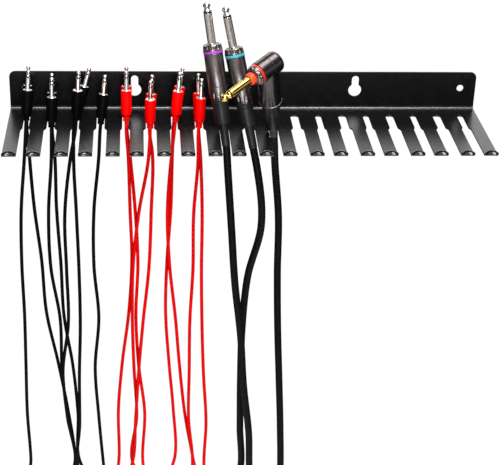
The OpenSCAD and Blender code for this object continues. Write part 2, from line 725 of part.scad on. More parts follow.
module angle_cord() {
  points = concat(
    root(angle_foot, lean_dir(angle_lean), 36, elbow_spout_l + cord_past_spout),
    angle_strand, reversed(straight_root(tail_foot, down)));
  color(black) on_wall() cord(points, cord_r, instrument_sides);
}
module angle_tip() { color(gold) on_wall() along_plug() plug_tip(JACK_TIP, angle_gap_z, -1); }
module angle_insulator() { color(black) on_wall() along_plug() jack_insulator(angle_gap_z, -1); }
module angle_sleeve() {
  color(gold) on_wall() along_plug() jack_sleeve(angle_gap_z, -2, collar_front + 0.2, seat_r);
}
module angle_collar() { color(collar_orange) on_wall() along_plug() slide_collar(); }
module angle_crown() { color(gunmetal) on_wall() along_plug() elbow_nose(); }
module angle_ring() {
  color(ring_red) on_wall() along_plug() code_ring(elbow_ring_back, elbow_ring_front, 8.0);
}
module angle_shell() { color(gunmetal) on_wall() on_elbow() elbow_shell(); }
module angle_boot() { color(black) on_wall() on_elbow() elbow_boot(); }

module tail_tip() { color(steel) on_wall() on_tail() straight_tip(); }
module tail_insulator() { color(black) on_wall() on_tail() straight_insulator(); }
module tail_sleeve() { color(steel) on_wall() on_tail() straight_sleeve(); }
module tail_crown() { color(gunmetal) on_wall() on_tail() straight_crown(); }
module tail_ring() { color(ring_red) on_wall() on_tail() straight_ring(); }
module tail_shell() { color(gunmetal) on_wall() on_tail() jack_shell(); }
module tail_boot() { color(black) on_wall() on_tail() jack_boot(3.7, 3.3); }

function shown(name) = node == "all" || node == name;

if (shown("rack_bracket")) rack_bracket();
if (shown("patch_1_cord")) patch_cord(1);
if (shown("patch_1_grips")) patch_grips(1);
if (shown("patch_1_contacts")) patch_contacts(1);
if (shown("patch_1_insulators")) patch_insulators(1);
if (shown("patch_2_cord")) patch_cord(2);
if (shown("patch_2_grips")) patch_grips(2);
if (shown("patch_2_contacts")) patch_contacts(2);
if (shown("patch_2_insulators")) patch_insulators(2);
if (shown("patch_3_cord")) patch_cord(3);
if (shown("patch_3_grips")) patch_grips(3);
if (shown("patch_3_contacts")) patch_contacts(3);
if (shown("patch_3_insulators")) patch_insulators(3);
if (shown("patch_4_cord")) patch_cord(4);
if (shown("patch_4_grips")) patch_grips(4);
if (shown("patch_4_contacts")) patch_contacts(4);
if (shown("patch_4_insulators")) patch_insulators(4);
if (shown("patch_5_cord")) patch_cord(5);
if (shown("patch_5_grips")) patch_grips(5);
if (shown("patch_5_contacts")) patch_contacts(5);
if (shown("patch_5_insulators")) patch_insulators(5);
if (shown("patch_6_cord")) patch_cord(6);
if (shown("patch_6_grips")) patch_grips(6);
if (shown("patch_6_contacts")) patch_contacts(6);
if (shown("patch_6_insulators")) patch_insulators(6);
if (shown("patch_7_cord")) patch_cord(7);
if (shown("patch_7_grips")) patch_grips(7);
if (shown("patch_7_contacts")) patch_contacts(7);
if (shown("patch_7_insulators")) patch_insulators(7);
if (shown("patch_8_cord")) patch_cord(8);
if (shown("patch_8_grips")) patch_grips(8);
if (shown("patch_8_contacts")) patch_contacts(8);
if (shown("patch_8_insulators")) patch_insulators(8);
if (shown("pair_cord")) pair_cord();
if (shown("pair_tips")) pair_tips();
if (shown("pair_insulators")) pair_insulators();
if (shown("pair_sleeves")) pair_sleeves();
if (shown("pair_crowns")) pair_crowns();
if (shown("pair_shells")) pair_shells();
if (shown("violet_ring")) violet_ring();
if (shown("cyan_ring")) cyan_ring();
if (shown("violet_boot")) violet_boot();
if (shown("cyan_boot")) cyan_boot();
if (shown("angle_cord")) angle_cord();
if (shown("angle_tip")) angle_tip();
if (shown("angle_insulator")) angle_insulator();
if (shown("angle_sleeve")) angle_sleeve();
if (shown("angle_collar")) angle_collar();
if (shown("angle_crown")) angle_crown();
if (shown("angle_ring")) angle_ring();
if (shown("angle_shell")) angle_shell();
if (shown("angle_boot")) angle_boot();
if (shown("tail_tip")) tail_tip();
if (shown("tail_insulator")) tail_insulator();
if (shown("tail_sleeve")) tail_sleeve();
if (shown("tail_crown")) tail_crown();
if (shown("tail_ring")) tail_ring();
if (shown("tail_shell")) tail_shell();
if (shown("tail_boot")) tail_boot();
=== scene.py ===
"""Wall rack for audio cables: a folded steel sheet with 19 slots, eight patch cables hanging in
slots 1 to 8, a cord with two straight plugs in slots 9 and 10, and a cord with an angled plug
in slot 11.

Sizes are millimetres with x to the right, the wall face at y = 0, the front towards -y and the
shelf top at z = 0. to_frame() turns them into the metres of the product's frame, whose origin
is level with the centres of the keyholes.
"""

import json
import math

import bmesh
import bpy
from mathutils import Matrix, Vector
from mathutils.geometry import delaunay_2d_cdt

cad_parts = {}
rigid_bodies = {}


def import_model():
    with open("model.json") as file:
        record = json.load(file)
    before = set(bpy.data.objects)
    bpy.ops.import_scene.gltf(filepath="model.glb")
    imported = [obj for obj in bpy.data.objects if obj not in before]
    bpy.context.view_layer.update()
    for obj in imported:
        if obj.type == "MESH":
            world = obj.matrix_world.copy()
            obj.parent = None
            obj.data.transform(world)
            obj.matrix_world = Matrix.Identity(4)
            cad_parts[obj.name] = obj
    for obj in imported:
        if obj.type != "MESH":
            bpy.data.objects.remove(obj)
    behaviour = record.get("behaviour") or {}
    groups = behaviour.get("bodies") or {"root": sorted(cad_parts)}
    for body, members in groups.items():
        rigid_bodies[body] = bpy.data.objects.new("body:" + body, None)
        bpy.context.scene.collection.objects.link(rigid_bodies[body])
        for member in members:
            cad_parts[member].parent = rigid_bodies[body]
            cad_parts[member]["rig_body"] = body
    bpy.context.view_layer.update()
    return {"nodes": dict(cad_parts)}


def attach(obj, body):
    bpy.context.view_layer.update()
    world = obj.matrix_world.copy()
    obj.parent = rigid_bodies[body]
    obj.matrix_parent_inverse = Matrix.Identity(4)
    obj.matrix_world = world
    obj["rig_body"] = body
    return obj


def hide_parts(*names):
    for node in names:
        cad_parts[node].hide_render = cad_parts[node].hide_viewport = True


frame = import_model()

# ------------------------------------------------------------------ rack sizes
SHEET_T = 1.2
PLATE_H = 31.0
REACH = 92.2          # wall face to the front of the lips
BEND_R = 1.4          # inside radius between plate and shelf
LIP_BEND_R = 0.9      # inside radius between shelf and lip
PLATE_CORNER_R = 5.0
EDGE_R = 0.22         # rounding of every cut edge
LIP_H = 3.6
LIP_ARCH_R = 8.4      # arch of a lip's upper edge

SLOTS = 19
PITCH = 19.05
END_TINE_W = 10.5
# slots are narrow in odd places and wide in even ones, and widen towards the front
NARROW_BACK, NARROW_FRONT = 4.7, 7.36
WIDE_BACK, WIDE_FRONT = 6.2, 9.9
SLOT_END = 16.1                     # distances from the wall face
WIDEN_START, WIDEN_END = 39.4, 43.2
SLOT_CORNER_R = 1.8
RACK_W = (SLOTS - 1) * PITCH + NARROW_FRONT + 2 * END_TINE_W

KEY_X, KEY_Z, KEY_R = 87.8, 15.5, 5.2   # round part of a keyhole
KEY_NECK_W, KEY_TOP = 5.6, 27.6
HOLE_X, HOLE_Z, HOLE_R = 173.2, 17.4, 2.75

# ------------------------------------------------------------------ cable sizes
# Patch cable: heights run from the lower end of the relief, up through the grip to the plug.
PATCH_CORD_R = 1.4
GRIP_R, GRIP_L = 4.2, 19.4
RELIEF_R, RELIEF_L = 2.7, 5.0
GRIP_TOP = RELIEF_L + GRIP_L
MINI_L = 15.0
MINI_END = GRIP_TOP + 0.5 + MINI_L
MINI_RING_Z = MINI_END - 5.7        # underside of the plug's insulating ring
PATCH_ROOT = 5                      # straight cord on either side of a plug's origin

# Straight plug: heights run from the lower end of the boot's body.
CORD_R = 3.0
SPOUT_L, BOOT_L = 16.8, 19.0
RING_A, RING_B, SHOULDER = 55.2, 57.3, 62.5
SHELL_R = 7.3
CROWN_R = SHELL_R + 0.2
CROWN_ROOT_R = 3.6                  # sleeve where it leaves the crown
JACK_R, JACK_L, JACK_TIP_L = 3.175, 31.7, 8.7
TIP_BASE = SHOULDER + JACK_L - JACK_TIP_L

# Angled plug: heights run up the housing, or out along the plug from the housing's axis.
ELBOW_R = 8.4
SKIRT = 25.7                        # lower end of the metal housing
PLUG_H, PLUG_TURN, PLUG_DROOP = 58.8, 38.0, 3.5     # height, then two angles in degrees
ANGLE_RING_A, ANGLE_RING_B, ANGLE_SHOULDER = 8.6, 10.8, 14.4
SEAT_R = 3.0                        # sleeve inside the collar
ANGLE_TIP_BASE = ANGLE_SHOULDER + JACK_L - JACK_TIP_L

# Hanging cord: one station every STRAND_STEP below STRAND_TOP.
STRAND_TOP, STRAND_STEP, STATIONS = -30, 50, 7
STRAND_END = STRAND_TOP - (STATIONS - 1) * STRAND_STEP
CORD_STEP = 2.6                     # longest spacing of rings along a cord

# Each patch cable: slot,
#   front end (x from the slot, y, lean in x, lean in y), x drift and y of its stations,
#   rear end and its stations in the same way, or nothing where the cord ends free,
#   half width of the loop below, z of the loop's lowest point (or of the free plug).
PATCHES = [
    (1, (-0.3, -27.0, 4.5, 8.0), (-3, -8, -10, -10, -11, -12, -11),
     (-26, -23, -20, -19, -19, -19, -19),
     (-0.3, -18.2, 3.5, 9.0), (0, 2, 6, 8, 16, 23, 28), (-18, -17, -16, -15, -15, -15, -15),
     20, -372),
    (2, (0.0, -28.4, 2.0, 4.5), (-1, -5, -5, 1, 1, 4, 9), (-28, -27, -27, -27, -27, -27, -27),
     (0.0, -19.4, 1.5, 5.0), (1, 1, 3, 4, 10, 13, 13), (-19, -20, -22, -22, -22, -22, -22),
     14, -392),
    (3, (0.0, -26.2, 4.3, 3.0), (-5, -11, -11, -11, -17, -14, -10),
     (-27, -30, -32, -32, -32, -32, -32),
     (0.0, -17.5, 16.0, 6.0), (-3, -2, -1, -1, -3, -4, -6), (-20, -26, -31, -36, -37, -37, -37),
     14, -385),
    (4, (-0.2, -22.7, 6.0, 5.5), (-2, -7, -8, -5, -9, -7, -4),
     (-23, -24, -25, -25, -25, -25, -25),
     None, (), (), 0, -350),
    (5, (0.8, -28.2, 0.6, 8.0), (2, 3, 4, 1, -5, -9, -9), (-26, -22, -18, -18, -18, -18, -18),
     (0.8, -18.4, 0.6, 7.0), (3, 7, 9, 7, 9, 14, 12), (-18, -20, -22, -22, -22, -22, -22),
     13, -396),
    (6, (0.2, -30.0, 0.6, -1.0), (-1, -9, -14, -15, -14, -12, -16),
     (-29, -28, -27, -27, -27, -27, -27),
     (0.1, -20.8, 2.8, 3.5), (2, 1, -1, -6, -10, -13, -17), (-21, -25, -29, -32, -32, -32, -32),
     13, -384),
    (7, (0.8, -28.2, 5.0, 4.7), (-2, -5, -3, 2, 6, 11, 19), (-28, -27, -26, -25, -25, -25, -25),
     (0.8, -18.4, 8.6, 5.6), (-1, -2, -5, -6, -3, 1, 3), (-18, -18, -18, -18, -18, -18, -18),
     12, -376),
    (8, (0.05, -30.0, 3.0, 5.6), (0, -3, -3, -5, -5, -5, -1),
     (-30, -31, -32, -32, -32, -32, -32),
     (0.3, -21.0, -0.7, 8.0), (2, 4, 4, 5, 7, 10, 9), (-22, -27, -32, -36, -37, -37, -37),
     8.5, -398),
]
FIRST_RED_PATCH = 5

# Large plugs on the rack: origin, (lean in x, lean in y) in degrees.
VIOLET = ((-20.1, -47.2, 6.2), (-8.6, 12.8))
CYAN = ((-0.1, -47.2, 3.9), (-12.2, 13.3))
ANGLE = ((18.5, -47.2, 3.5), (-8.2, -16.8))
# Straight plug hanging upside down at the end of the angled plug's cord.
TAIL = Vector((38.05, -46.0, -358.0))
# Large cords: slot, x drift and y of the stations.
VIOLET_STRAND = (9, (3, 7, 11, 17, 21, 27, 30), (-54, -56, -56, -56, -55, -54, -53))
CYAN_STRAND = (10, (7, 12, 3, 0, 0, 1, 2), (-54, -51, -46, -45, -45, -45, -45))
ANGLE_STRAND = (11, (3, 8, 9, 11, 14, 17, 19), (-38, -37, -39, -42, -44, -45, -46))
# x, y, z of the loop between the violet and the cyan strand.
PAIR_LOOP = [(22, -53, -378), (17, -52, -411), (2, -49, -425), (-13, -46, -411), (-18, -45, -378)]


# ------------------------------------------------------------------ places
def slot_x(i):
    return (i - (SLOTS + 1) / 2) * PITCH


def is_wide(i):
    return i % 2 == 0


def front_width(i):
    return WIDE_FRONT if is_wide(i) else NARROW_FRONT


def back_width(i):
    return WIDE_BACK if is_wide(i) else NARROW_BACK


def tine_left(i):
    return -RACK_W / 2 if i == 0 else slot_x(i) + front_width(i) / 2


def tine_right(i):
    return RACK_W / 2 if i == SLOTS else slot_x(i + 1) - front_width(i + 1) / 2


def lean_dir(lean):
    """Upward direction leaning by the two angles in x and y."""
    return Vector((math.tan(math.radians(lean[0])), math.tan(math.radians(lean[1])), 1)).normalized()


def leaning(origin, lean):
    up = lean_dir(lean)
    turn = Matrix.Rotation(math.acos(up.z), 4, Vector((-up.y, up.x, 0)))
    return Matrix.Translation(Vector(origin)) @ turn


def hanging(origin):
    """Placement of a plug that points straight down."""
    return Matrix.Translation(origin) @ Matrix.Rotation(math.pi, 4, "X")


def patch_seat(slot, end):
    """Origin and lean of a patch plug: its grip rests on a wide slot, its relief on a narrow one."""
    offset, y, *lean = end
    wide = is_wide(slot)
    tilt = math.acos(lean_dir(lean).z)
    z = 0.06 + (GRIP_R if wide else RELIEF_R) * math.sin(tilt) - (RELIEF_L if wide else 0)
    return Vector((slot_x(slot) + offset, y, z)), lean


def to_frame(p):
    return Vector((p[0], p[1], p[2] - KEY_Z)) * 0.001


# ------------------------------------------------------------------ materials
def clear_tree(owner):
    owner.use_nodes = True
    owner.node_tree.nodes.clear()
    return owner.node_tree


def add_node(tree, kind, inputs=None, **properties):
    """New node with its properties and inputs; an input is a value or a socket to link."""
    node = tree.nodes.new(kind)
    for key, value in properties.items():
        setattr(node, key, value)
    set_inputs(tree, node, inputs or {})
    return node


def set_inputs(tree, node, inputs):
    for key, value in inputs.items():
        if isinstance(value, bpy.types.NodeSocket):
            tree.links.new(value, node.inputs[key])
        else:
            node.inputs[key].default_value = value


def add_noise(tree, vector, scale, detail, **properties):
    inputs = {"Vector": vector, "Scale": scale, "Detail": detail}
    return add_node(tree, "ShaderNodeTexNoise", inputs, **properties).outputs["Fac"]


def map_range(tree, value, source, target=(0, 1)):
    return add_node(tree, "ShaderNodeMapRange", {
        "Value": value, "From Min": source[0], "From Max": source[1],
        "To Min": target[0], "To Max": target[1]}).outputs[0]


def multiply_add(tree, value, factor, plus):
    inputs = {0: value, 1: factor, 2: plus}
    return add_node(tree, "ShaderNodeMath", inputs, operation="MULTIPLY_ADD").outputs[0]


# Stretch of the line noise over the "turn" UVs, (around, along, -) per millimetre.
LATHE_LINES = (0.15, 9.0, 1.0)
CORD_LINES = (0.9, 1.6, 1.0)
NOISE_BAND = (0.3, 0.7)      # part of the noise's range that carries the variation
TONE_SCALE = 260.0           # noise scale of the tone and roughness patches


def material(name, base, rough, grain_depth, metal=0.0, spec=0.5, shade=(0.85, 1.1),
             grain=2600.0, rough_spread=0.08, lines=None, line_strength=0.0):
    """Procedural finish: tone and roughness vary with a broad noise, relief comes from a fine one.

    shade is the range of the tone's factor, grain the scale of the fine noise, grain_depth the
    relief's height in metres. lines adds marks to the relief, weighted by line_strength."""
    mat = bpy.data.materials.new(name)
    tree = clear_tree(mat)
    output = add_node(tree, "ShaderNodeOutputMaterial")
    bsdf = add_node(tree, "ShaderNodeBsdfPrincipled")
    tree.links.new(bsdf.outputs[0], output.inputs[0])
    coords = add_node(tree, "ShaderNodeTexCoord").outputs["Object"]
    broad = add_noise(tree, coords, scale=TONE_SCALE, detail=5)
    tone = map_range(tree, broad, NOISE_BAND, shade)
    colour = add_node(tree, "ShaderNodeMix", {"Factor": 1, "A": (*base, 1), "B": tone},
                      data_type="RGBA", blend_type="MULTIPLY")
    height = add_noise(tree, coords, scale=grain, detail=3)
    rough_range = (max(0.02, rough - rough_spread), min(1.0, rough + rough_spread))
    roughness = map_range(tree, broad, NOISE_BAND, rough_range)
    if lines:
        uv = add_node(tree, "ShaderNodeUVMap", uv_map="turn")
        stretched = add_node(tree, "ShaderNodeMapping", {"Vector": uv.outputs[0], "Scale": lines})
        marks = add_noise(tree, stretched.outputs[0], scale=1.0, detail=2, noise_dimensions="2D")
        height = multiply_add(tree, marks, line_strength, height)
    bump = add_node(tree, "ShaderNodeBump",
                    {"Strength": 1.0, "Distance": grain_depth, "Height": height})
    set_inputs(tree, bsdf, {
        "Base Color": colour.outputs["Result"], "Roughness": roughness,
        "Normal": bump.outputs[0], "Metallic": metal, "Specular IOR Level": spec,
        "Coat Roughness": 0.1})
    # plain values that an exporter without these nodes can fall back on
    mat.diffuse_color = (*base, 1)
    mat.metallic, mat.roughness = metal, rough
    return mat


FINISHES = {
    "satin_black_steel": dict(
        base=(0.0034, 0.0034, 0.0040), rough=0.29, spec=0.42, grain=1900,
        grain_depth=0.0000022, rough_spread=0.03, shade=(0.9, 1.12)),
    "black_patch_cord": dict(
        base=(0.0022, 0.0022, 0.0026), rough=0.42, spec=0.06,
        lines=CORD_LINES, line_strength=0.3, grain_depth=0.000012),
    "red_patch_cord": dict(
        base=(0.80, 0.0006, 0.0012), rough=0.44, spec=0.05,
        lines=CORD_LINES, line_strength=0.3, grain_depth=0.000012, shade=(0.92, 1.05)),
    "black_moulding": dict(
        base=(0.0018, 0.0018, 0.0022), rough=0.38, spec=0.04, grain=3200, grain_depth=0.000012),
    "red_moulding": dict(
        base=(0.92, 0.0004, 0.0008), rough=0.42, spec=0.06, grain=3200,
        grain_depth=0.000012, shade=(0.96, 1.02)),
    "nickel_contact": dict(
        base=(0.76, 0.71, 0.675), rough=0.24, metal=1, lines=LATHE_LINES, line_strength=0.15,
        grain_depth=0.000003, rough_spread=0.03, shade=(0.92, 1.04)),
    "insulator": dict(
        base=(0.004, 0.004, 0.004), rough=0.45, spec=0.25, grain_depth=0.000006),
    "instrument_cord": dict(
        base=(0.0034, 0.0034, 0.0040), rough=0.44, spec=0.09,
        lines=CORD_LINES, line_strength=0.4, grain_depth=0.000014),
    "boot_rubber": dict(
        base=(0.0105, 0.0108, 0.0120), rough=0.40, spec=0.36, grain=3000, grain_depth=0.000014),
    "gold_contact": dict(
        base=(0.90, 0.61, 0.15), rough=0.13, metal=1, lines=LATHE_LINES, line_strength=0.12,
        grain_depth=0.000002, rough_spread=0.02, shade=(0.94, 1.04)),
    "dark_chrome": dict(
        base=(0.235, 0.215, 0.21), rough=0.26, metal=1, lines=LATHE_LINES, line_strength=0.15,
        grain_depth=0.000003, rough_spread=0.03, shade=(0.94, 1.05)),
    "gunmetal_shell": dict(
        base=(0.215, 0.192, 0.188), rough=0.30, metal=1, lines=LATHE_LINES, line_strength=0.25,
        grain_depth=0.000005, rough_spread=0.03, shade=(0.93, 1.06)),
    "violet_ring": dict(
        base=(0.40, 0.045, 0.50), rough=0.32, grain_depth=0.00001, shade=(0.92, 1.06)),
    "cyan_ring": dict(
        base=(0.05, 0.48, 0.62), rough=0.32, grain_depth=0.00001, shade=(0.92, 1.06)),
    "red_ring": dict(
        base=(0.62, 0.025, 0.015), rough=0.30, grain_depth=0.00001, shade=(0.9, 1.06)),
    "orange_collar": dict(
        base=(0.90, 0.070, 0.010), rough=0.36, grain_depth=0.00001, shade=(0.94, 1.04)),
}
MATERIALS = {name: material(name, **finish) for name, finish in FINISHES.items()}


def vary_steel(mat):
    """Less specular on the plate, more along the inside bend, and smoother and shinier lips."""
    tree = mat.node_tree
    bsdf = tree.nodes["Principled BSDF"]
    coords = tree.nodes["Texture Coordinate"].outputs["Object"]
    axes = add_node(tree, "ShaderNodeSeparateXYZ", {0: coords}).outputs
    # masks, ramped between two places in metres of the product's frame
    plate = map_range(tree, axes["Z"], (-0.0136, -0.0130))
    wall = map_range(tree, axes["Y"], (-0.0049, -0.0043))
    lips = map_range(tree, axes["Y"], (-0.0885, -0.0900))
    bend = add_node(tree, "ShaderNodeMath", {0: wall, 1: plate},
                    operation="SUBTRACT", use_clamp=True).outputs[0]
    spec = multiply_add(tree, lips, factor=0.5, plus=0.42)
    spec = multiply_add(tree, plate, factor=-0.24, plus=spec)
    spec = multiply_add(tree, bend, factor=0.6, plus=spec)
    rough = bsdf.inputs["Roughness"].links[0].from_socket
    rough = multiply_add(tree, plate, factor=-0.05, plus=rough)
    rough = multiply_add(tree, lips, factor=-0.2, plus=rough)
    set_inputs(tree, bsdf, {"Specular IOR Level": spec, "Roughness": rough})


vary_steel(MATERIALS["satin_black_steel"])
# the angled housing is darker than the straight shells
HOUSING_FINISH = material(
    "gunmetal_housing", base=(0.105, 0.093, 0.090), rough=0.27, metal=1, lines=LATHE_LINES,
    line_strength=0.2, grain_depth=0.000005, rough_spread=0.03, shade=(0.93, 1.06))


# ------------------------------------------------------------------ mesh helpers
DEFAULT_FILLET = 0.12


def rounded(points, steps=3):
    """Outline with its corners turned into small arcs. A point is (r, z) or (r, z, fillet)."""
    out = []
    for i, point in enumerate(points):
        corner = Vector(point[:2])
        if i in (0, len(points) - 1):
            out.append(corner)
            continue
        fillet = point[2] if len(point) > 2 else DEFAULT_FILLET
        before = Vector(points[i - 1][:2]) - corner
        after = Vector(points[i + 1][:2]) - corner
        reach = min(fillet, 0.45 * before.length, 0.45 * after.length)
        if reach < 1e-4:
            out.append(corner)
            continue
        start = corner + before.normalized() * reach
        end = corner + after.normalized() * reach
        for k in range(steps + 1):
            t = k / steps
            out.append(start * (1 - t) ** 2 + corner * 2 * t * (1 - t) + end * t * t)
    return out


def link_object(name, mesh):
    obj = bpy.data.objects.new(name, mesh)
    bpy.context.scene.collection.objects.link(obj)
    return obj


def finish_piece(obj, node):
    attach(obj, frame["nodes"][node]["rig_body"])
    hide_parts(node)


class Shape:
    """Collects rings of points in millimetres and turns them into one object."""

    def __init__(self):
        self.verts, self.faces, self.uvs = [], [], []

    def join(self, rings, around, runs):
        """Joins consecutive rings; a ring of one point closes the surface there.
        around is the UV width of a full turn and runs the UV height of each ring."""
        starts = []
        for ring in rings:
            starts.append(len(self.verts))
            self.verts.extend(ring)
        for i in range(len(rings) - 1):
            low, high = rings[i], rings[i + 1]
            s0, s1 = starts[i], starts[i + 1]
            v0, v1 = runs[i], runs[i + 1]
            n = max(len(low), len(high))
            for k in range(n):
                k2 = (k + 1) % n
                u0, u1 = around * k / n, around * (k + 1) / n
                if len(low) == 1:
                    self.faces.append((s0, s1 + k2, s1 + k))
                    self.uvs.append(((u0, v0), (u1, v1), (u0, v1)))
                elif len(high) == 1:
                    self.faces.append((s0 + k, s0 + k2, s1))
                    self.uvs.append(((u0, v0), (u1, v0), (u0, v1)))
                else:
                    self.faces.append((s0 + k, s0 + k2, s1 + k2, s1 + k))
                    self.uvs.append(((u0, v0), (u1, v0), (u1, v1), (u0, v1)))

    def lathe(self, outline, segments, at, change=None):
        """Turns an outline of (r, z) about z, then places it.
        change(angle, r, z) may move each point before that."""
        rings, runs, run = [], [], 0.0
        previous = Vector(outline[0])
        for r, z in outline:
            run += (Vector((r, z)) - previous).length
            previous = Vector((r, z))
            runs.append(run)
            if r < 1e-6:
                rings.append([at @ Vector((0, 0, z))])
                continue
            ring = []
            for k in range(segments):
                a = 2 * math.pi * k / segments
                rr, zz = change(a, r, z) if change else (r, z)
                ring.append(at @ Vector((rr * math.cos(a), rr * math.sin(a), zz)))
            rings.append(ring)
        self.join(rings, 2 * math.pi * max(p[0] for p in outline), runs)

    def sweep(self, path, radius, sides):
        """Round cord along a path, with a frame that turns as little as possible."""
        last = len(path) - 1
        tangents = [(path[min(i + 1, last)] - path[max(i - 1, 0)]).normalized()
                    for i in range(last + 1)]
        normal = tangents[0].cross(Vector((0, 1, 0))).normalized()
        rings, runs, run = [[path[0].copy()]], [0.0], 0.0
        for i, centre in enumerate(path):
            if i:
                turn = tangents[i - 1].rotation_difference(tangents[i])
                normal = (turn @ normal).normalized()
                run += (centre - path[i - 1]).length
            side = tangents[i].cross(normal)
            angles = [2 * math.pi * k / sides for k in range(sides)]
            rings.append([centre + radius * (math.cos(a) * normal + math.sin(a) * side)
                          for a in angles])
            runs.append(run)
        rings.append([path[-1].copy()])
        runs.append(run)
        self.join(rings, 2 * math.pi * radius, runs)

    def make(self, name, node, slot, sharp=38.0, finish=None):
        mesh = bpy.data.meshes.new(name)
        mesh.from_pydata([to_frame(p) for p in self.verts], [], self.faces)
        layer = mesh.uv_layers.new(name="turn")
        layer.data.foreach_set("uv", [x for face in self.uvs for uv in face for x in uv])
        mesh.polygons.foreach_set("use_smooth", [True] * len(mesh.polygons))
        mesh.set_sharp_from_angle(angle=math.radians(sharp))
        mesh.validate()
        obj = link_object(name, mesh)
        mesh.materials.append(finish or MATERIALS[slot])
        finish_piece(obj, node)


def turned(name, node, slot, at, segments, *outlines, change=None, **options):
    """One object made of one or more turned outlines."""
    shape = Shape()
    for outline in outlines:
        shape.lathe(outline, segments, at, change)
    shape.make(name, node, slot, **options)


def cord(name, node, slot, points, radius, sides):
    shape = Shape()
    shape.sweep(spline(points, CORD_STEP), radius, sides)
    shape.make(name, node, slot, sharp=60)


# ------------------------------------------------------------------ cord paths
def spline(points, step):
    """Cubic curve through the points, sampled at no more than a step along each chord."""
    p = [Vector(q) for q in points]
    last = len(p) - 1

    def chord(i):
        return (p[i + 1] - p[i]).length

    def tangent(i):
        if i == 0:
            return (p[1] - p[0]) / chord(0)
        if i == last:
            return (p[i] - p[i - 1]) / chord(i - 1)
        before, after = chord(i - 1), chord(i)
        return ((p[i + 1] - p[i]) / after * before
                + (p[i] - p[i - 1]) / before * after) / (before + after)

    out = []
    for i in range(last):
        d = chord(i)
        n = max(1, math.ceil(d / step))
        tan0, tan1 = tangent(i), tangent(i + 1)
        for k in range(n):
            t = k / n
            t2, t3 = t * t, t * t * t
            out.append((2 * t3 - 3 * t2 + 1) * p[i] + (t3 - 2 * t2 + t) * d * tan0
                       + (3 * t2 - 2 * t3) * p[i + 1] + (t3 - t2) * d * tan1)
    out.append(p[-1])
    return out


def strand(slot, drifts, ys):
    """Stations of a cord hanging under a slot, from the top down."""
    return [Vector((slot_x(slot) + drift, y, STRAND_TOP - STRAND_STEP * i))
            for i, (drift, y) in enumerate(zip(drifts, ys))]


def root(origin, lean, inside, outside):
    """Straight start of a cord, from inside its plug to below it."""
    up = lean_dir(lean)
    origin = Vector(origin)
    return [origin + inside * up, origin, origin - outside * up]


def loop_between(a, b, half_width, low):
    """Five points of a U from below strand end a round to below strand end b."""
    side = -1 if a.x < b.x else 1
    x, y = (a.x + b.x) / 2, (a.y + b.y) / 2
    upper = low + 0.45 * (STRAND_END - low)
    return [Vector((x + side * half_width, a.y, upper)),
            Vector((x + side * 0.74 * half_width, a.y + 0.15 * (b.y - a.y), low + 9)),
            Vector((x, y, low)),
            Vector((x - side * 0.74 * half_width, b.y + 0.15 * (a.y - b.y), low + 9)),
            Vector((x - side * half_width, b.y, upper))]


# ------------------------------------------------------------------ bracket
# The sheet is laid out flat in (x, s, h): s runs down the plate from its top edge, forwards
# along the shelf and up the lips, h through the thickness from the wall side or underside.
BEND_OUT = BEND_R + SHEET_T
LIP_OUT = LIP_BEND_R + SHEET_T
S_BEND = PLATE_H - BEND_R
S_SHELF = S_BEND + math.pi / 2 * (BEND_R + SHEET_T / 2)
S_LIP_BEND = S_SHELF + REACH - LIP_OUT - BEND_OUT
S_LIP = S_LIP_BEND + math.pi / 2 * (LIP_BEND_R + SHEET_T / 2)
BEND_CUTS, LIP_BEND_CUTS = 8, 6
LIP_CUTS = (0.7, 1.4, 2.1)      # further cuts above the lip bend
# fractions of a tine's width at which its lip is cut
LIP_COLUMNS = (0.07, 0.14, 0.2, 0.26, 0.32, 0.38, 0.44, 0.5,
               0.56, 0.62, 0.68, 0.74, 0.8, 0.86, 0.93)


def s_of_y(y):
    return S_SHELF - BEND_OUT - y


def fold(x, s, h):
    """Place on the folded sheet."""
    if s <= S_BEND:
        return Vector((x, -h, PLATE_H - s))
    if s <= S_SHELF:
        a = (s - S_BEND) / (S_SHELF - S_BEND) * math.pi / 2
        r = BEND_OUT - h
        return Vector((x, -BEND_OUT + r * math.cos(a), BEND_R - r * math.sin(a)))
    if s <= S_LIP_BEND:
        return Vector((x, -BEND_OUT - (s - S_SHELF), -SHEET_T + h))
    if s <= S_LIP:
        a = (s - S_LIP_BEND) / (S_LIP - S_LIP_BEND) * math.pi / 2
        r = LIP_OUT - h
        return Vector((x, -REACH + LIP_OUT - r * math.sin(a), LIP_BEND_R - r * math.cos(a)))
    return Vector((x, -REACH + h, LIP_BEND_R + s - S_LIP))


def lip_hollow(x, s, z):
    """How far a lip is set back towards the wall, most in the middle between its ends."""
    tines = [(tine_left(i), tine_right(i)) for i in range(SLOTS + 1)]
    x0, x1 = min(tines, key=lambda tine: abs(x - (tine[0] + tine[1]) / 2))
    u = (x - (x0 + x1) / 2) / ((x1 - x0) / 2)
    ease = min(1.0, (s - S_LIP_BEND) / 2.2)
    return ease * max(0.0, 1 - u * u) * (0.95 + 0.33 * z - 0.05 * z ** 2)


def quarter(steps):
    return [math.pi / 2 * k / steps for k in range(steps + 1)]


def tine_edge(i):
    """Arched upper edge of a lip, from right to left."""
    x0, x1 = tine_left(i), tine_right(i)
    edge = []
    for k in range(13):
        x = x1 + (x0 - x1) * (k / 12)
        dx = x - (x0 + x1) / 2
        arch = math.sqrt(LIP_ARCH_R ** 2 - dx * dx)
        edge.append((x, S_LIP + LIP_H - LIP_ARCH_R + arch - LIP_BEND_R))
    return edge


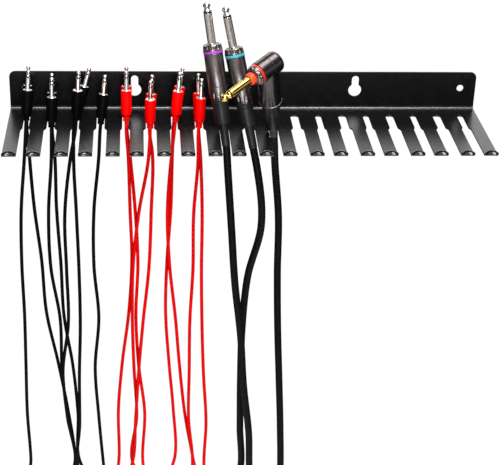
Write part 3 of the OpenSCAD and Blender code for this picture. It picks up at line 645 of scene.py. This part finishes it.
def slot_edge(i):
    """Edge of a slot, from its right side round the closed end to its left side."""
    x, back, front, r = slot_x(i), back_width(i) / 2, front_width(i) / 2, SLOT_CORNER_R
    edge = [(x + front, s_of_y(-WIDEN_END)), (x + back, s_of_y(-WIDEN_START))]
    edge += [(x + back - r * (1 - math.cos(a)), s_of_y(-SLOT_END - r * (1 - math.sin(a))))
             for a in quarter(6)]
    edge += [(x - back + r * (1 - math.sin(a)), s_of_y(-SLOT_END - r * (1 - math.cos(a))))
             for a in quarter(6)]
    return edge + [(x - back, s_of_y(-WIDEN_START)), (x - front, s_of_y(-WIDEN_END))]


def sheet_outline():
    r = PLATE_CORNER_R
    out = [(-RACK_W / 2 + r * (1 - math.cos(a)), r * (1 - math.sin(a))) for a in quarter(8)]
    out += [(RACK_W / 2 - r * (1 - math.sin(a)), r * (1 - math.cos(a))) for a in quarter(8)]
    for i in range(SLOTS, -1, -1):
        out += tine_edge(i)
        if i > 0:
            out += slot_edge(i)
    return out


def keyhole(x):
    neck_r = KEY_NECK_W / 2
    half = math.asin(neck_r / KEY_R)
    out = []
    for k in range(29):
        a = math.pi / 2 + half + (2 * math.pi - 2 * half) * k / 28
        out.append((x + KEY_R * math.cos(a), PLATE_H - (KEY_Z + KEY_R * math.sin(a))))
    for k in range(13):
        a = math.pi * k / 12
        out.append((x + neck_r * math.cos(a), PLATE_H - (KEY_TOP - neck_r + neck_r * math.sin(a))))
    return out


def round_hole(x):
    angles = [2 * math.pi * k / 28 for k in range(28)]
    return [(x + HOLE_R * math.cos(a), PLATE_H - (HOLE_Z + HOLE_R * math.sin(a))) for a in angles]


def inset(loop, distance):
    """Moves each point into the material, which lies to the left of every loop."""
    moved = []
    for i, point in enumerate(loop):
        e1 = (point - loop[i - 1]).normalized()
        e2 = (loop[(i + 1) % len(loop)] - point).normalized()
        mitre = Vector((-e1.y, e1.x)) + Vector((-e2.y, e2.x))
        mitre = mitre / max(mitre.length_squared, 0.4) * 2
        moved.append(point + mitre * distance)
    return moved


def is_inside(p, loop):
    hit = False
    for i, a in enumerate(loop):
        b = loop[(i + 1) % len(loop)]
        if (a.y > p.y) != (b.y > p.y) and p.x < (b.x - a.x) * (p.y - a.y) / (b.y - a.y) + a.x:
            hit = not hit
    return hit


def flat_sheet(loops):
    """Flat sheet with thickness and rounded edges; the first loop is the outline."""
    inner = [inset(loop, EDGE_R) for loop in loops]
    edges = []
    for loop in inner:
        base = len(edges)
        edges += [(base + i, base + (i + 1) % len(loop)) for i in range(len(loop))]
    points, _, triangles, *_ = delaunay_2d_cdt([p for loop in inner for p in loop],
                                               edges, [], 0, 1e-6)
    bm = bmesh.new()
    made = {}

    def vert(p, h):
        key = (round(p.x, 5), round(p.y, 5), round(h, 5))
        if key not in made:
            made[key] = bm.verts.new((p.x, p.y, h))
        return made[key]

    for tri in triangles:
        centre = (points[tri[0]] + points[tri[1]] + points[tri[2]]) / 3
        if is_inside(centre, inner[0]) and not any(is_inside(centre, hole) for hole in inner[1:]):
            top = [vert(points[i], SHEET_T) for i in tri]
            bottom = [vert(points[i], 0.0) for i in reversed(tri)]
            bm.faces.new(top)
            bm.faces.new(bottom)
    # rim, as (share of the inset, h): over a rounded edge, down the cut face, round underneath
    levels = [(math.sin(a), SHEET_T - EDGE_R + EDGE_R * math.cos(a)) for a in quarter(3)]
    levels += [(w, SHEET_T - h) for w, h in reversed(levels)]
    for loop, inside in zip(loops, inner):
        n = len(loop)
        rows = [[vert(inside[i] + (loop[i] - inside[i]) * w, h) for i in range(n)]
                for w, h in levels]
        for a, b in zip(rows, rows[1:]):
            for i in range(n):
                j = (i + 1) % n
                bm.faces.new([a[i], b[i], b[j], a[j]])
    return bm


def cut_for_folding(bm):
    """Rows of edges across the bends and lips, then columns inside the lips for their hollow."""
    rows = [S_BEND + (S_SHELF - S_BEND) * k / BEND_CUTS for k in range(BEND_CUTS + 1)]
    rows += [S_LIP_BEND + (S_LIP - S_LIP_BEND) * k / LIP_BEND_CUTS
             for k in range(LIP_BEND_CUTS + 1)]
    rows += [S_LIP + cut for cut in LIP_CUTS]
    for s in rows:
        bmesh.ops.bisect_plane(bm, geom=bm.verts[:] + bm.edges[:] + bm.faces[:], dist=1e-5,
                               plane_co=(0, s, 0), plane_no=(0, 1, 0))
    for i in range(SLOTS + 1):
        x0, x1 = tine_left(i), tine_right(i)
        for share in LIP_COLUMNS:
            faces = []
            for face in bm.faces:
                centre = face.calc_center_median()
                if centre.y > S_LIP_BEND - 0.5 and x0 - 1 < centre.x < x1 + 1:
                    faces.append(face)
            edges = {e for face in faces for e in face.edges}
            verts = {v for face in faces for v in face.verts}
            bmesh.ops.bisect_plane(bm, geom=list(verts) + list(edges) + faces, dist=1e-5,
                                   plane_co=(x0 + (x1 - x0) * share, 0, 0), plane_no=(1, 0, 0))


def build_bracket():
    loops = [sheet_outline()]
    for side in (-1, 1):
        loops += [keyhole(side * KEY_X), round_hole(side * HOLE_X)]
    bm = flat_sheet([[Vector(p) for p in loop] for loop in loops])
    cut_for_folding(bm)
    for v in bm.verts:
        x, s, h = v.co
        p = fold(x, s, h)
        if s > S_LIP_BEND:
            p.y += lip_hollow(x, s, p.z)
        v.co = to_frame(p)
    bmesh.ops.recalc_face_normals(bm, faces=bm.faces)
    mesh = bpy.data.meshes.new("rack_bracket_sheet")
    bm.to_mesh(mesh)
    bm.free()
    mesh.uv_layers.new(name="turn")
    mesh.polygons.foreach_set("use_smooth", [True] * len(mesh.polygons))
    obj = link_object("rack_bracket_sheet", mesh)
    mesh.materials.append(MATERIALS["satin_black_steel"])
    shading = obj.modifiers.new("even_shading", "WEIGHTED_NORMAL")
    shading.mode, shading.weight, shading.keep_sharp = "FACE_AREA_WITH_ANGLE", 80, True
    finish_piece(obj, "rack_bracket")


build_bracket()

# ------------------------------------------------------------------ patch cables
# Outlines are (r, z) or (r, z, fillet), from the low end up.
GRIP_OUTLINE = rounded([
    (0, 0.9), (1.48, 0.9), (1.48, 0.1), (1.6, 0), (2.2, 0), (2.62, 0.3), (2.66, 1.7, 0.25),
    (2.0, 1.85), (2.0, 2.35), (2.68, 2.5, 0.25), (2.7, 4.1, 0.25), (2.1, 4.25), (2.1, 4.7),
    (2.7, 4.8), (2.7, RELIEF_L), (3.55, RELIEF_L, 0.3), (GRIP_R, RELIEF_L + 1.2, 1.0),
    (GRIP_R, GRIP_TOP - 0.1, 0.45), (3.3, GRIP_TOP, 0.1), (3.3, GRIP_TOP - 0.1),
    (0, GRIP_TOP - 0.1)])
MINI_BARREL = rounded([
    (0, GRIP_TOP - 0.6), (3.0, GRIP_TOP - 0.6), (3.6, GRIP_TOP - 0.02, 0.1),
    (3.6, GRIP_TOP + 0.22, 0.14), (3.15, GRIP_TOP + 0.5, 0.12), (2.0, GRIP_TOP + 0.5, 0.1),
    (1.75, GRIP_TOP + 0.75, 0.1), (1.75, MINI_RING_Z, 0.08), (0, MINI_RING_Z)])
# (r, z above the insulating ring's underside, fillet)
MINI_TIP = rounded([(r, MINI_RING_Z + z, *fillet) for r, z, *fillet in (
    (0, 0.8), (1.65, 0.8), (1.75, 1.05, 0.15), (1.68, 1.5, 0.2), (1.12, 2.5, 0.35),
    (1.05, 3.0, 0.3), (1.6, 3.7, 0.3), (1.7, 4.2, 0.3), (1.3, 5.05, 0.4), (0.7, 5.6, 0.3),
    (0, 5.72))])
MINI_RING = rounded([(0, MINI_RING_Z), (1.57, MINI_RING_Z, 0.06),
                     (1.57, MINI_RING_Z + 0.8, 0.06), (0, MINI_RING_Z + 0.8)])


def patch_cable(number, slot, front_end, front_drift, front_y,
                rear_end, rear_drift, rear_y, half_width, low):
    tag = f"patch_{number}"
    colour = "red" if number >= FIRST_RED_PATCH else "black"
    front_seat = patch_seat(slot, front_end)
    front = strand(slot, front_drift, front_y)
    path = root(*front_seat, PATCH_ROOT, PATCH_ROOT) + front
    plugs = {"front": leaning(*front_seat)}
    if rear_end:
        rear_seat = patch_seat(slot, rear_end)
        rear = strand(slot, rear_drift, rear_y)
        path += loop_between(front[-1], rear[-1], half_width, low) + rear[::-1]
        path += root(*rear_seat, PATCH_ROOT, PATCH_ROOT)[::-1]
        plugs["rear"] = leaning(*rear_seat)
    else:
        end = Vector((slot_x(slot) + front_drift[-1] + 1, front_y[-1], low))
        straight = Vector((0, 0, PATCH_ROOT))
        path += [end + straight, end, end - straight]
        plugs["tail"] = hanging(end)
    cord(f"{tag}_cord_jacket", f"{tag}_cord", f"{colour}_patch_cord", path, PATCH_CORD_R, 16)
    for end, at in plugs.items():
        turned(f"{tag}_grip_{end}", f"{tag}_grips", f"{colour}_moulding", at, 40, GRIP_OUTLINE)
        turned(f"{tag}_plug_{end}", f"{tag}_contacts", "nickel_contact", at, 40,
               MINI_BARREL, MINI_TIP)
        turned(f"{tag}_plug_ring_{end}", f"{tag}_insulators", "insulator", at, 40, MINI_RING)


for number, patch in enumerate(PATCHES, 1):
    patch_cable(number, *patch)


# ------------------------------------------------------------------ 6.35 mm plugs
def tip_outline(base):
    # (r, z above the sleeve's end, fillet)
    return rounded([(r, base + z, *fillet) for r, z, *fillet in (
        (0, 1), (2.9, 1), (3.1, 1.35, 0.25), (3.0, 1.9, 0.4), (2.1, 3.3, 0.6), (1.95, 3.9, 0.4),
        (2.1, 4.4, 0.3), (2.85, 5.2, 0.35), (2.95, 5.7, 0.35), (2.6, 6.9, 0.8), (1.7, 8.1, 0.8),
        (0.9, 8.6, 0.4), (0, 8.72))], steps=4)


def insulator_outline(base):
    return rounded([(0, base - 0.1), (3.12, base - 0.1, 0.1), (3.12, base + 1.06, 0.1),
                    (0, base + 1.06)])


def sleeve_outline(end, rear, root_r, root_z):
    """Sleeve from rear to end, with a root of its own radius up to root_z."""
    return rounded([(0, rear), (root_r, rear), (root_r, root_z, 0.08),
                    (JACK_R, root_z + 0.02, 0.05), (JACK_R, end, 0.18), (0, end)])


def ring_outline(low, high, r):
    return rounded([(5.3, low + 0.03), (r, low + 0.03, 0.3), (r + 0.05, (low + high) / 2, 0.8),
                    (r, high - 0.03, 0.3), (5.3, high - 0.03)])


def crown_outline(front, back, r, bore=CROWN_ROOT_R + 0.03, depth=1.0, steps=10):
    """Crown that narrows towards the front, with a bore of the given depth in its front face."""
    points = [(5.2, back), (r, back, 0.2), (r, back + 0.9, 0.1)]
    for k in range(1, steps):
        z = back + 0.9 + (front - 1.2 - back - 0.9) * k / steps
        points.append((r - 0.5 * (k / steps), z, 0))
    points += [(r - 0.55, front - 1.15, 0.5), (r - 1.6, front - 0.25, 0.5),
               (r - 2.4, front, 0.3), (bore + 0.3, front, 0.15), (bore, front - 0.35, 0.1),
               (bore, front - depth), (0, front - depth)]
    return rounded(points)


def folded_angle(a, count):
    """Angle from the nearest of count evenly spaced features."""
    step = 2 * math.pi / count
    return (a + step / 2) % step - step / 2


def flutes(r, back, count=12, flute_r=1.3, offset=0.55):
    """Round grooves along a crown, their axes lying offset outside its radius."""
    axis_r = r + offset
    start = back + 0.95

    def change(a, rr, z):
        if z < start or rr < r - 3:
            return rr, z
        phi = folded_angle(a, count)
        square = flute_r * flute_r - (axis_r * math.sin(phi)) ** 2
        if square <= 0:
            return rr, z
        groove = axis_r * math.cos(phi) - math.sqrt(square)
        if groove >= rr:
            return rr, z
        ease = min(1.0, (z - start) / 0.7)
        return rr + (groove - rr) * (ease * (2 - ease)), z
    return change


def dent_shell(a, rr, z, count=9, centre=BOOT_L + 4.2, half_length=2.9, half_angle=0.15,
               depth=0.55):
    """Long dents around the lower part of a shell."""
    if abs(z - centre) > half_length or rr < SHELL_R - 1:
        return rr, z
    phi = folded_angle(a, count)
    dent = 1 - (phi / half_angle) ** 2 - ((z - centre) / half_length) ** 4
    return (rr - depth * dent ** 0.8 if dent > 0 else rr), z


def shell_outline():
    """Shell with a slightly flared lower part, a fine groove and a plain barrel."""
    z = BOOT_L + 0.1
    points = [(5.3, z), (SHELL_R - 0.75, z, 0.25), (SHELL_R - 0.3, z + 2.9, 0.6)]
    points += [(SHELL_R - 0.3 + 0.3 * k / 30, z + 2.9 + 7.8 * k / 30, 0) for k in range(1, 31)]
    points += [(SHELL_R, BOOT_L + 10.95, 0.12), (SHELL_R - 0.4, BOOT_L + 11.05, 0.05),
               (SHELL_R - 0.4, BOOT_L + 11.45, 0.05), (SHELL_R, BOOT_L + 11.55, 0.12),
               (SHELL_R, RING_A - 0.02, 0.25), (5.3, RING_A - 0.02)]
    return rounded(points)


def boot_outline(spout_r):
    return rounded([
        (0, -SPOUT_L + 0.6), (3.08, -SPOUT_L + 0.6), (3.08, -SPOUT_L), (3.26, -SPOUT_L, 0.08),
        (3.34, -SPOUT_L + 4, 0.5), (spout_r, -0.6, 0.3), (spout_r + 0.1, 0, 0.2),
        (5.4, 0.0, 0.6), (5.85, 1.0, 0.8), (6.2, BOOT_L - 3.6, 0.8), (6.45, BOOT_L - 2.6, 0.4),
        (6.45, BOOT_L - 0.5, 0.3), (6.1, BOOT_L, 0.2), (5.3, BOOT_L), (5.3, BOOT_L + 0.6),
        (0, BOOT_L + 0.6)])


def straight_plug(tag, at, ring_slot, spout_r, paired):
    """Paired plugs share their source nodes, apart from the ring and the boot."""
    def piece(name, slot, segments, outline, suffix=None, **options):
        shared = paired and name not in ("ring", "boot")
        node = f"pair_{name}s" if shared else f"{tag}_{name}"
        turned(f"{tag}_{suffix or name}", node, slot, at, segments, outline, **options)

    piece("tip", "nickel_contact", 48, tip_outline(TIP_BASE))
    piece("insulator", "insulator", 48, insulator_outline(TIP_BASE))
    piece("sleeve", "nickel_contact", 48,
          sleeve_outline(TIP_BASE, SHOULDER - 1.2, CROWN_ROOT_R, SHOULDER + 0.3))
    piece("crown", "dark_chrome", 192, crown_outline(SHOULDER, RING_B, CROWN_R),
          change=flutes(CROWN_R, RING_B), sharp=42)
    piece("ring", ring_slot, 72, ring_outline(RING_A, RING_B, CROWN_R), suffix="code_ring")
    piece("shell", "gunmetal_shell", 180, shell_outline(), change=dent_shell, sharp=42)
    piece("boot", "boot_rubber", 64, boot_outline(spout_r), suffix="boot_skin")


straight_plug("violet", leaning(*VIOLET), "violet_ring", spout_r=3.5, paired=True)
straight_plug("cyan", leaning(*CYAN), "cyan_ring", spout_r=3.6, paired=True)
straight_plug("tail", hanging(TAIL), "red_ring", spout_r=3.7, paired=False)

cord("pair_cord_jacket", "pair_cord", "instrument_cord",
     root(*VIOLET, 40, SPOUT_L + 1) + strand(*VIOLET_STRAND) + PAIR_LOOP
     + strand(*CYAN_STRAND)[::-1] + root(*CYAN, 40, SPOUT_L + 1)[::-1], CORD_R, 28)
cord("angle_cord_jacket", "angle_cord", "instrument_cord",
     root(*ANGLE, 36, 9) + strand(*ANGLE_STRAND)
     + [TAIL + Vector((0, 0, SPOUT_L + 1)), TAIL, TAIL - Vector((0, 0, 40))], CORD_R, 28)

# ------------------------------------------------------------------ angled plug
# z runs up the housing in on_angle, and out along the plug in along
on_angle = leaning(*ANGLE) @ Matrix.Rotation(math.radians(PLUG_TURN), 4, "Z")
along = (on_angle @ Matrix.Translation((0, 0, PLUG_H))
         @ Matrix.Rotation(-math.radians(90 + PLUG_DROOP), 4, "Y"))
ANGLE_CROWN_R, ANGLE_RING_R = 7.9, 7.95

COLLAR_OUTLINE = rounded([
    (SEAT_R + 0.05, 14.2), (4.65, 14.2, 0.15), (4.65, 17.6, 0.5), (3.9, 18.8, 0.35),
    (SEAT_R + 0.3, 18.8, 0.15), (SEAT_R + 0.05, 18.6), (SEAT_R + 0.05, 14.2)])
UPRIGHT_OUTLINE = rounded([
    (0, SKIRT + 1.2), (ELBOW_R + 0.2, SKIRT + 1.2), (ELBOW_R + 0.3, SKIRT + 2, 0.3),
    (ELBOW_R + 0.02, PLUG_H - 1, 0), (0, PLUG_H - 1)])
HEAD_OUTLINE = rounded([
    (0, -11.6), (ELBOW_R - 2.6, -11.55, 1.6), (ELBOW_R - 0.7, -10.3, 1.6),
    (ELBOW_R, -8.4, 1.4), (ELBOW_R, -1.6, 0.06), (ELBOW_R - 0.3, -1.45, 0.04),
    (ELBOW_R - 0.3, -1.2, 0.04), (ELBOW_R, -1.05, 0.06), (ELBOW_R, 8.45, 0.3), (0, 8.45)],
    steps=5)
RING_SEAT_OUTLINE = [(0, 8.449), (8.6, 8.449), (8.6, 12.4), (0, 12.4)]
RIM_OUTLINE = rounded([
    (5.4, SKIRT), (ELBOW_R + 0.45, SKIRT, 0.3), (ELBOW_R + 0.75, SKIRT + 0.7, 0.35),
    (ELBOW_R + 0.45, SKIRT + 1.35, 0.3), (5.4, SKIRT + 1.35)], steps=4)
ANGLE_BOOT_OUTLINE = rounded([
    (0, -7.4), (3.08, -7.4), (3.08, -8), (3.25, -8, 0.08), (3.45, -0.6, 0.3), (3.5, 0, 0.2),
    (5.2, 0.0, 0.5), (5.7, 1.0, 0.8), (6.3, 15.2, 0.8), (6.5, 16.4, 0.3), (6.85, 17.3, 0.3),
    (7.15, 24.6, 0.4), (7.0, SKIRT - 0.1, 0.1), (5.3, SKIRT - 0.1), (0, SKIRT - 0.1)])


def barrel(name, outline, at):
    """Temporary solid for the joining, in millimetres."""
    shape = Shape()
    shape.lathe(outline, 96, at)
    mesh = bpy.data.meshes.new(name)
    mesh.from_pydata(shape.verts, [], shape.faces)
    return link_object(name, mesh)


def dense(outline, step=0.8):
    """Outline with its long stretches divided, except where they reach the axis."""
    out = [outline[0]]
    for point in outline[1:]:
        start = out[-1]
        d = point - start
        n = max(1, math.ceil(d.length / step)) if min(start.x, point.x) > 1 else 1
        out += [start + d * k / n for k in range(1, n + 1)]
    return out


def build_housing():
    """Two barrels joined into one skin, cut flat where the red ring sits."""
    upright = barrel("housing_upright", dense(UPRIGHT_OUTLINE), on_angle)
    head = barrel("housing_head", dense(HEAD_OUTLINE), along)
    seat = barrel("ring_seat", RING_SEAT_OUTLINE, along)
    for name, operation, other in (("join", "UNION", upright), ("flat", "DIFFERENCE", seat)):
        boolean = head.modifiers.new(name, "BOOLEAN")
        boolean.operation, boolean.solver, boolean.object = operation, "EXACT", other
    graph = bpy.context.evaluated_depsgraph_get()
    joined = bpy.data.meshes.new_from_object(head.evaluated_get(graph))
    for obj in (head, upright, seat):
        bpy.data.objects.remove(obj)
    bm = bmesh.new()
    bm.from_mesh(joined)
    bmesh.ops.remove_doubles(bm, verts=bm.verts, dist=1e-4)
    bmesh.ops.recalc_face_normals(bm, faces=bm.faces)
    bm.to_mesh(joined)
    bm.free()
    skin = Shape()
    skin.verts = [v.co.copy() for v in joined.vertices]
    skin.faces = [tuple(p.vertices) for p in joined.polygons]
    # UVs wrap round the upright barrel's axis
    inverse = on_angle.inverted()
    for face in skin.faces:
        local = [inverse @ skin.verts[i] for i in face]
        skin.uvs.append(tuple((math.atan2(q.y, q.x) * ELBOW_R, q.z) for q in local))
    skin.make("angle_plug_housing", "angle_shell", "gunmetal_shell", 28, HOUSING_FINISH)


turned("angle_plug_tip", "angle_tip", "gold_contact", along, 48, tip_outline(ANGLE_TIP_BASE))
turned("angle_plug_insulator", "angle_insulator", "insulator", along, 48,
       insulator_outline(ANGLE_TIP_BASE))
turned("angle_plug_sleeve", "angle_sleeve", "gold_contact", along, 48,
       sleeve_outline(ANGLE_TIP_BASE, 9.0, SEAT_R, 19.0))
turned("angle_plug_collar", "angle_collar", "orange_collar", along, 64, COLLAR_OUTLINE)
turned("angle_plug_crown", "angle_crown", "dark_chrome", along, 192,
       crown_outline(ANGLE_SHOULDER, ANGLE_RING_B, ANGLE_CROWN_R, bore=4.72, depth=3.9, steps=5),
       change=flutes(ANGLE_CROWN_R, ANGLE_RING_B), sharp=42)
turned("angle_plug_code_ring", "angle_ring", "red_ring", along, 72,
       ring_outline(ANGLE_RING_A, ANGLE_RING_B, ANGLE_RING_R))
build_housing()
turned("angle_plug_housing_rim", "angle_shell", "dark_chrome", on_angle, 96, RIM_OUTLINE)
turned("angle_boot_skin", "angle_boot", "boot_rubber", on_angle, 96, ANGLE_BOOT_OUTLINE)

# ------------------------------------------------------------------ studio, in metres
scene = bpy.context.scene


def soft_box(name, centre, size, brightness, aim=(0, 0, 0.05)):
    """Rectangular light, hidden from the camera. brightness is that of its face."""
    light = bpy.data.lights.new(name, "AREA")
    light.shape = "RECTANGLE"
    light.size, light.size_y = size
    light.energy = brightness * size[0] * size[1] * math.pi
    obj = link_object(name, light)
    obj.location = centre
    obj.rotation_mode = "QUATERNION"
    obj.rotation_quaternion = (Vector(aim) - Vector(centre)).to_track_quat("-Z", "Y")
    obj.visible_camera = False


soft_box("front_panel", centre=(0.0, -2.6, 0.10), size=(4.4, 1.5), brightness=0.78)
soft_box("key_box", centre=(0.22, -1.55, 1.70), size=(0.85, 0.65), brightness=24.0,
         aim=(0, 0, -0.08))
soft_box("lip_lamp", centre=(0.02, -2.2, -0.23), size=(0.8, 0.46), brightness=9.0, aim=(0, 0, 0))
soft_box("top_box", centre=(0.1, -0.15, 1.6), size=(1.6, 1.0), brightness=6.5, aim=(0, -0.05, 0))
soft_box("back_card", centre=(0.0, 1.7, 0.80), size=(4.2, 1.3), brightness=2.1)
soft_box("left_card", centre=(-2.3, -1.0, 0.35), size=(2.2, 1.2), brightness=0.45)
soft_box("right_card", centre=(2.3, -1.0, 0.35), size=(2.2, 1.2), brightness=0.45)
soft_box("under_card", centre=(0.0, -0.45, -1.3), size=(2.4, 2.4), brightness=1.3,
         aim=(0, -0.449, 0))

# floor and world are white to the camera and dim to everything that mirrors them
WHITE = (1, 1, 1, 1)
FLOOR_HALF, FLOOR_Z = 6.0, -1.5
FLOOR_BRIGHTNESS, WORLD_BRIGHTNESS, MIRRORED_BRIGHTNESS = 1.02, 1.0, 0.05


def build_floor():
    """White floor that can be seen through from below."""
    mesh = bpy.data.meshes.new("floor")
    corners = [(x * FLOOR_HALF, y * FLOOR_HALF, FLOOR_Z)
               for x, y in ((-1, -1), (1, -1), (1, 1), (-1, 1))]
    mesh.from_pydata(corners, [], [(0, 1, 2, 3)])
    floor = link_object("floor", mesh)
    mat = bpy.data.materials.new("floor_pale")
    tree = clear_tree(mat)
    output = add_node(tree, "ShaderNodeOutputMaterial")
    glow = add_node(tree, "ShaderNodeEmission", {0: WHITE, 1: FLOOR_BRIGHTNESS})
    clear = add_node(tree, "ShaderNodeBsdfTransparent")
    side = add_node(tree, "ShaderNodeNewGeometry")
    seen = add_node(tree, "ShaderNodeMixShader", {
        0: side.outputs["Backfacing"], 1: glow.outputs[0], 2: clear.outputs[0]})
    ray = add_node(tree, "ShaderNodeLightPath")
    mirrored = add_node(tree, "ShaderNodeEmission", {1: MIRRORED_BRIGHTNESS})
    pick = add_node(tree, "ShaderNodeMixShader", {
        0: ray.outputs["Is Camera Ray"], 1: mirrored.outputs[0], 2: seen.outputs[0]})
    set_inputs(tree, output, {0: pick.outputs[0]})
    mesh.materials.append(mat)


def build_world():
    scene.world = bpy.data.worlds.new("studio")
    tree = clear_tree(scene.world)
    output = add_node(tree, "ShaderNodeOutputWorld")
    seen = add_node(tree, "ShaderNodeBackground", {0: WHITE, 1: WORLD_BRIGHTNESS})
    mirrored = add_node(tree, "ShaderNodeBackground", {0: WHITE, 1: MIRRORED_BRIGHTNESS})
    ray = add_node(tree, "ShaderNodeLightPath")
    pick = add_node(tree, "ShaderNodeMixShader", {
        0: ray.outputs["Is Camera Ray"], 1: mirrored.outputs[0], 2: seen.outputs[0]})
    set_inputs(tree, output, {0: pick.outputs[0]})


def build_camera():
    data = bpy.data.cameras.new("camera")
    data.sensor_fit = "HORIZONTAL"
    data.sensor_width = 36.0
    data.lens = 100.22112
    data.clip_start, data.clip_end = 0.01, 50
    camera = link_object("camera", data)
    right = Vector((0.99685698, -0.07273156, 0.03140519))
    up = Vector((0.00641748, 0.46925153, 0.88304123))
    forward = Vector((0.0789619, 0.88006427, -0.46824341))
    placement = Matrix((right, up, -forward)).transposed().to_4x4()
    placement.translation = Vector((-0.08457, -1.02959, 0.41874))
    camera.matrix_world = placement
    scene.camera = camera


build_floor()
build_world()
scene.view_settings.view_transform = "Standard"
scene.view_settings.look = "None"
scene.view_settings.exposure = 0.0
scene.view_settings.gamma = 1.0
build_camera()
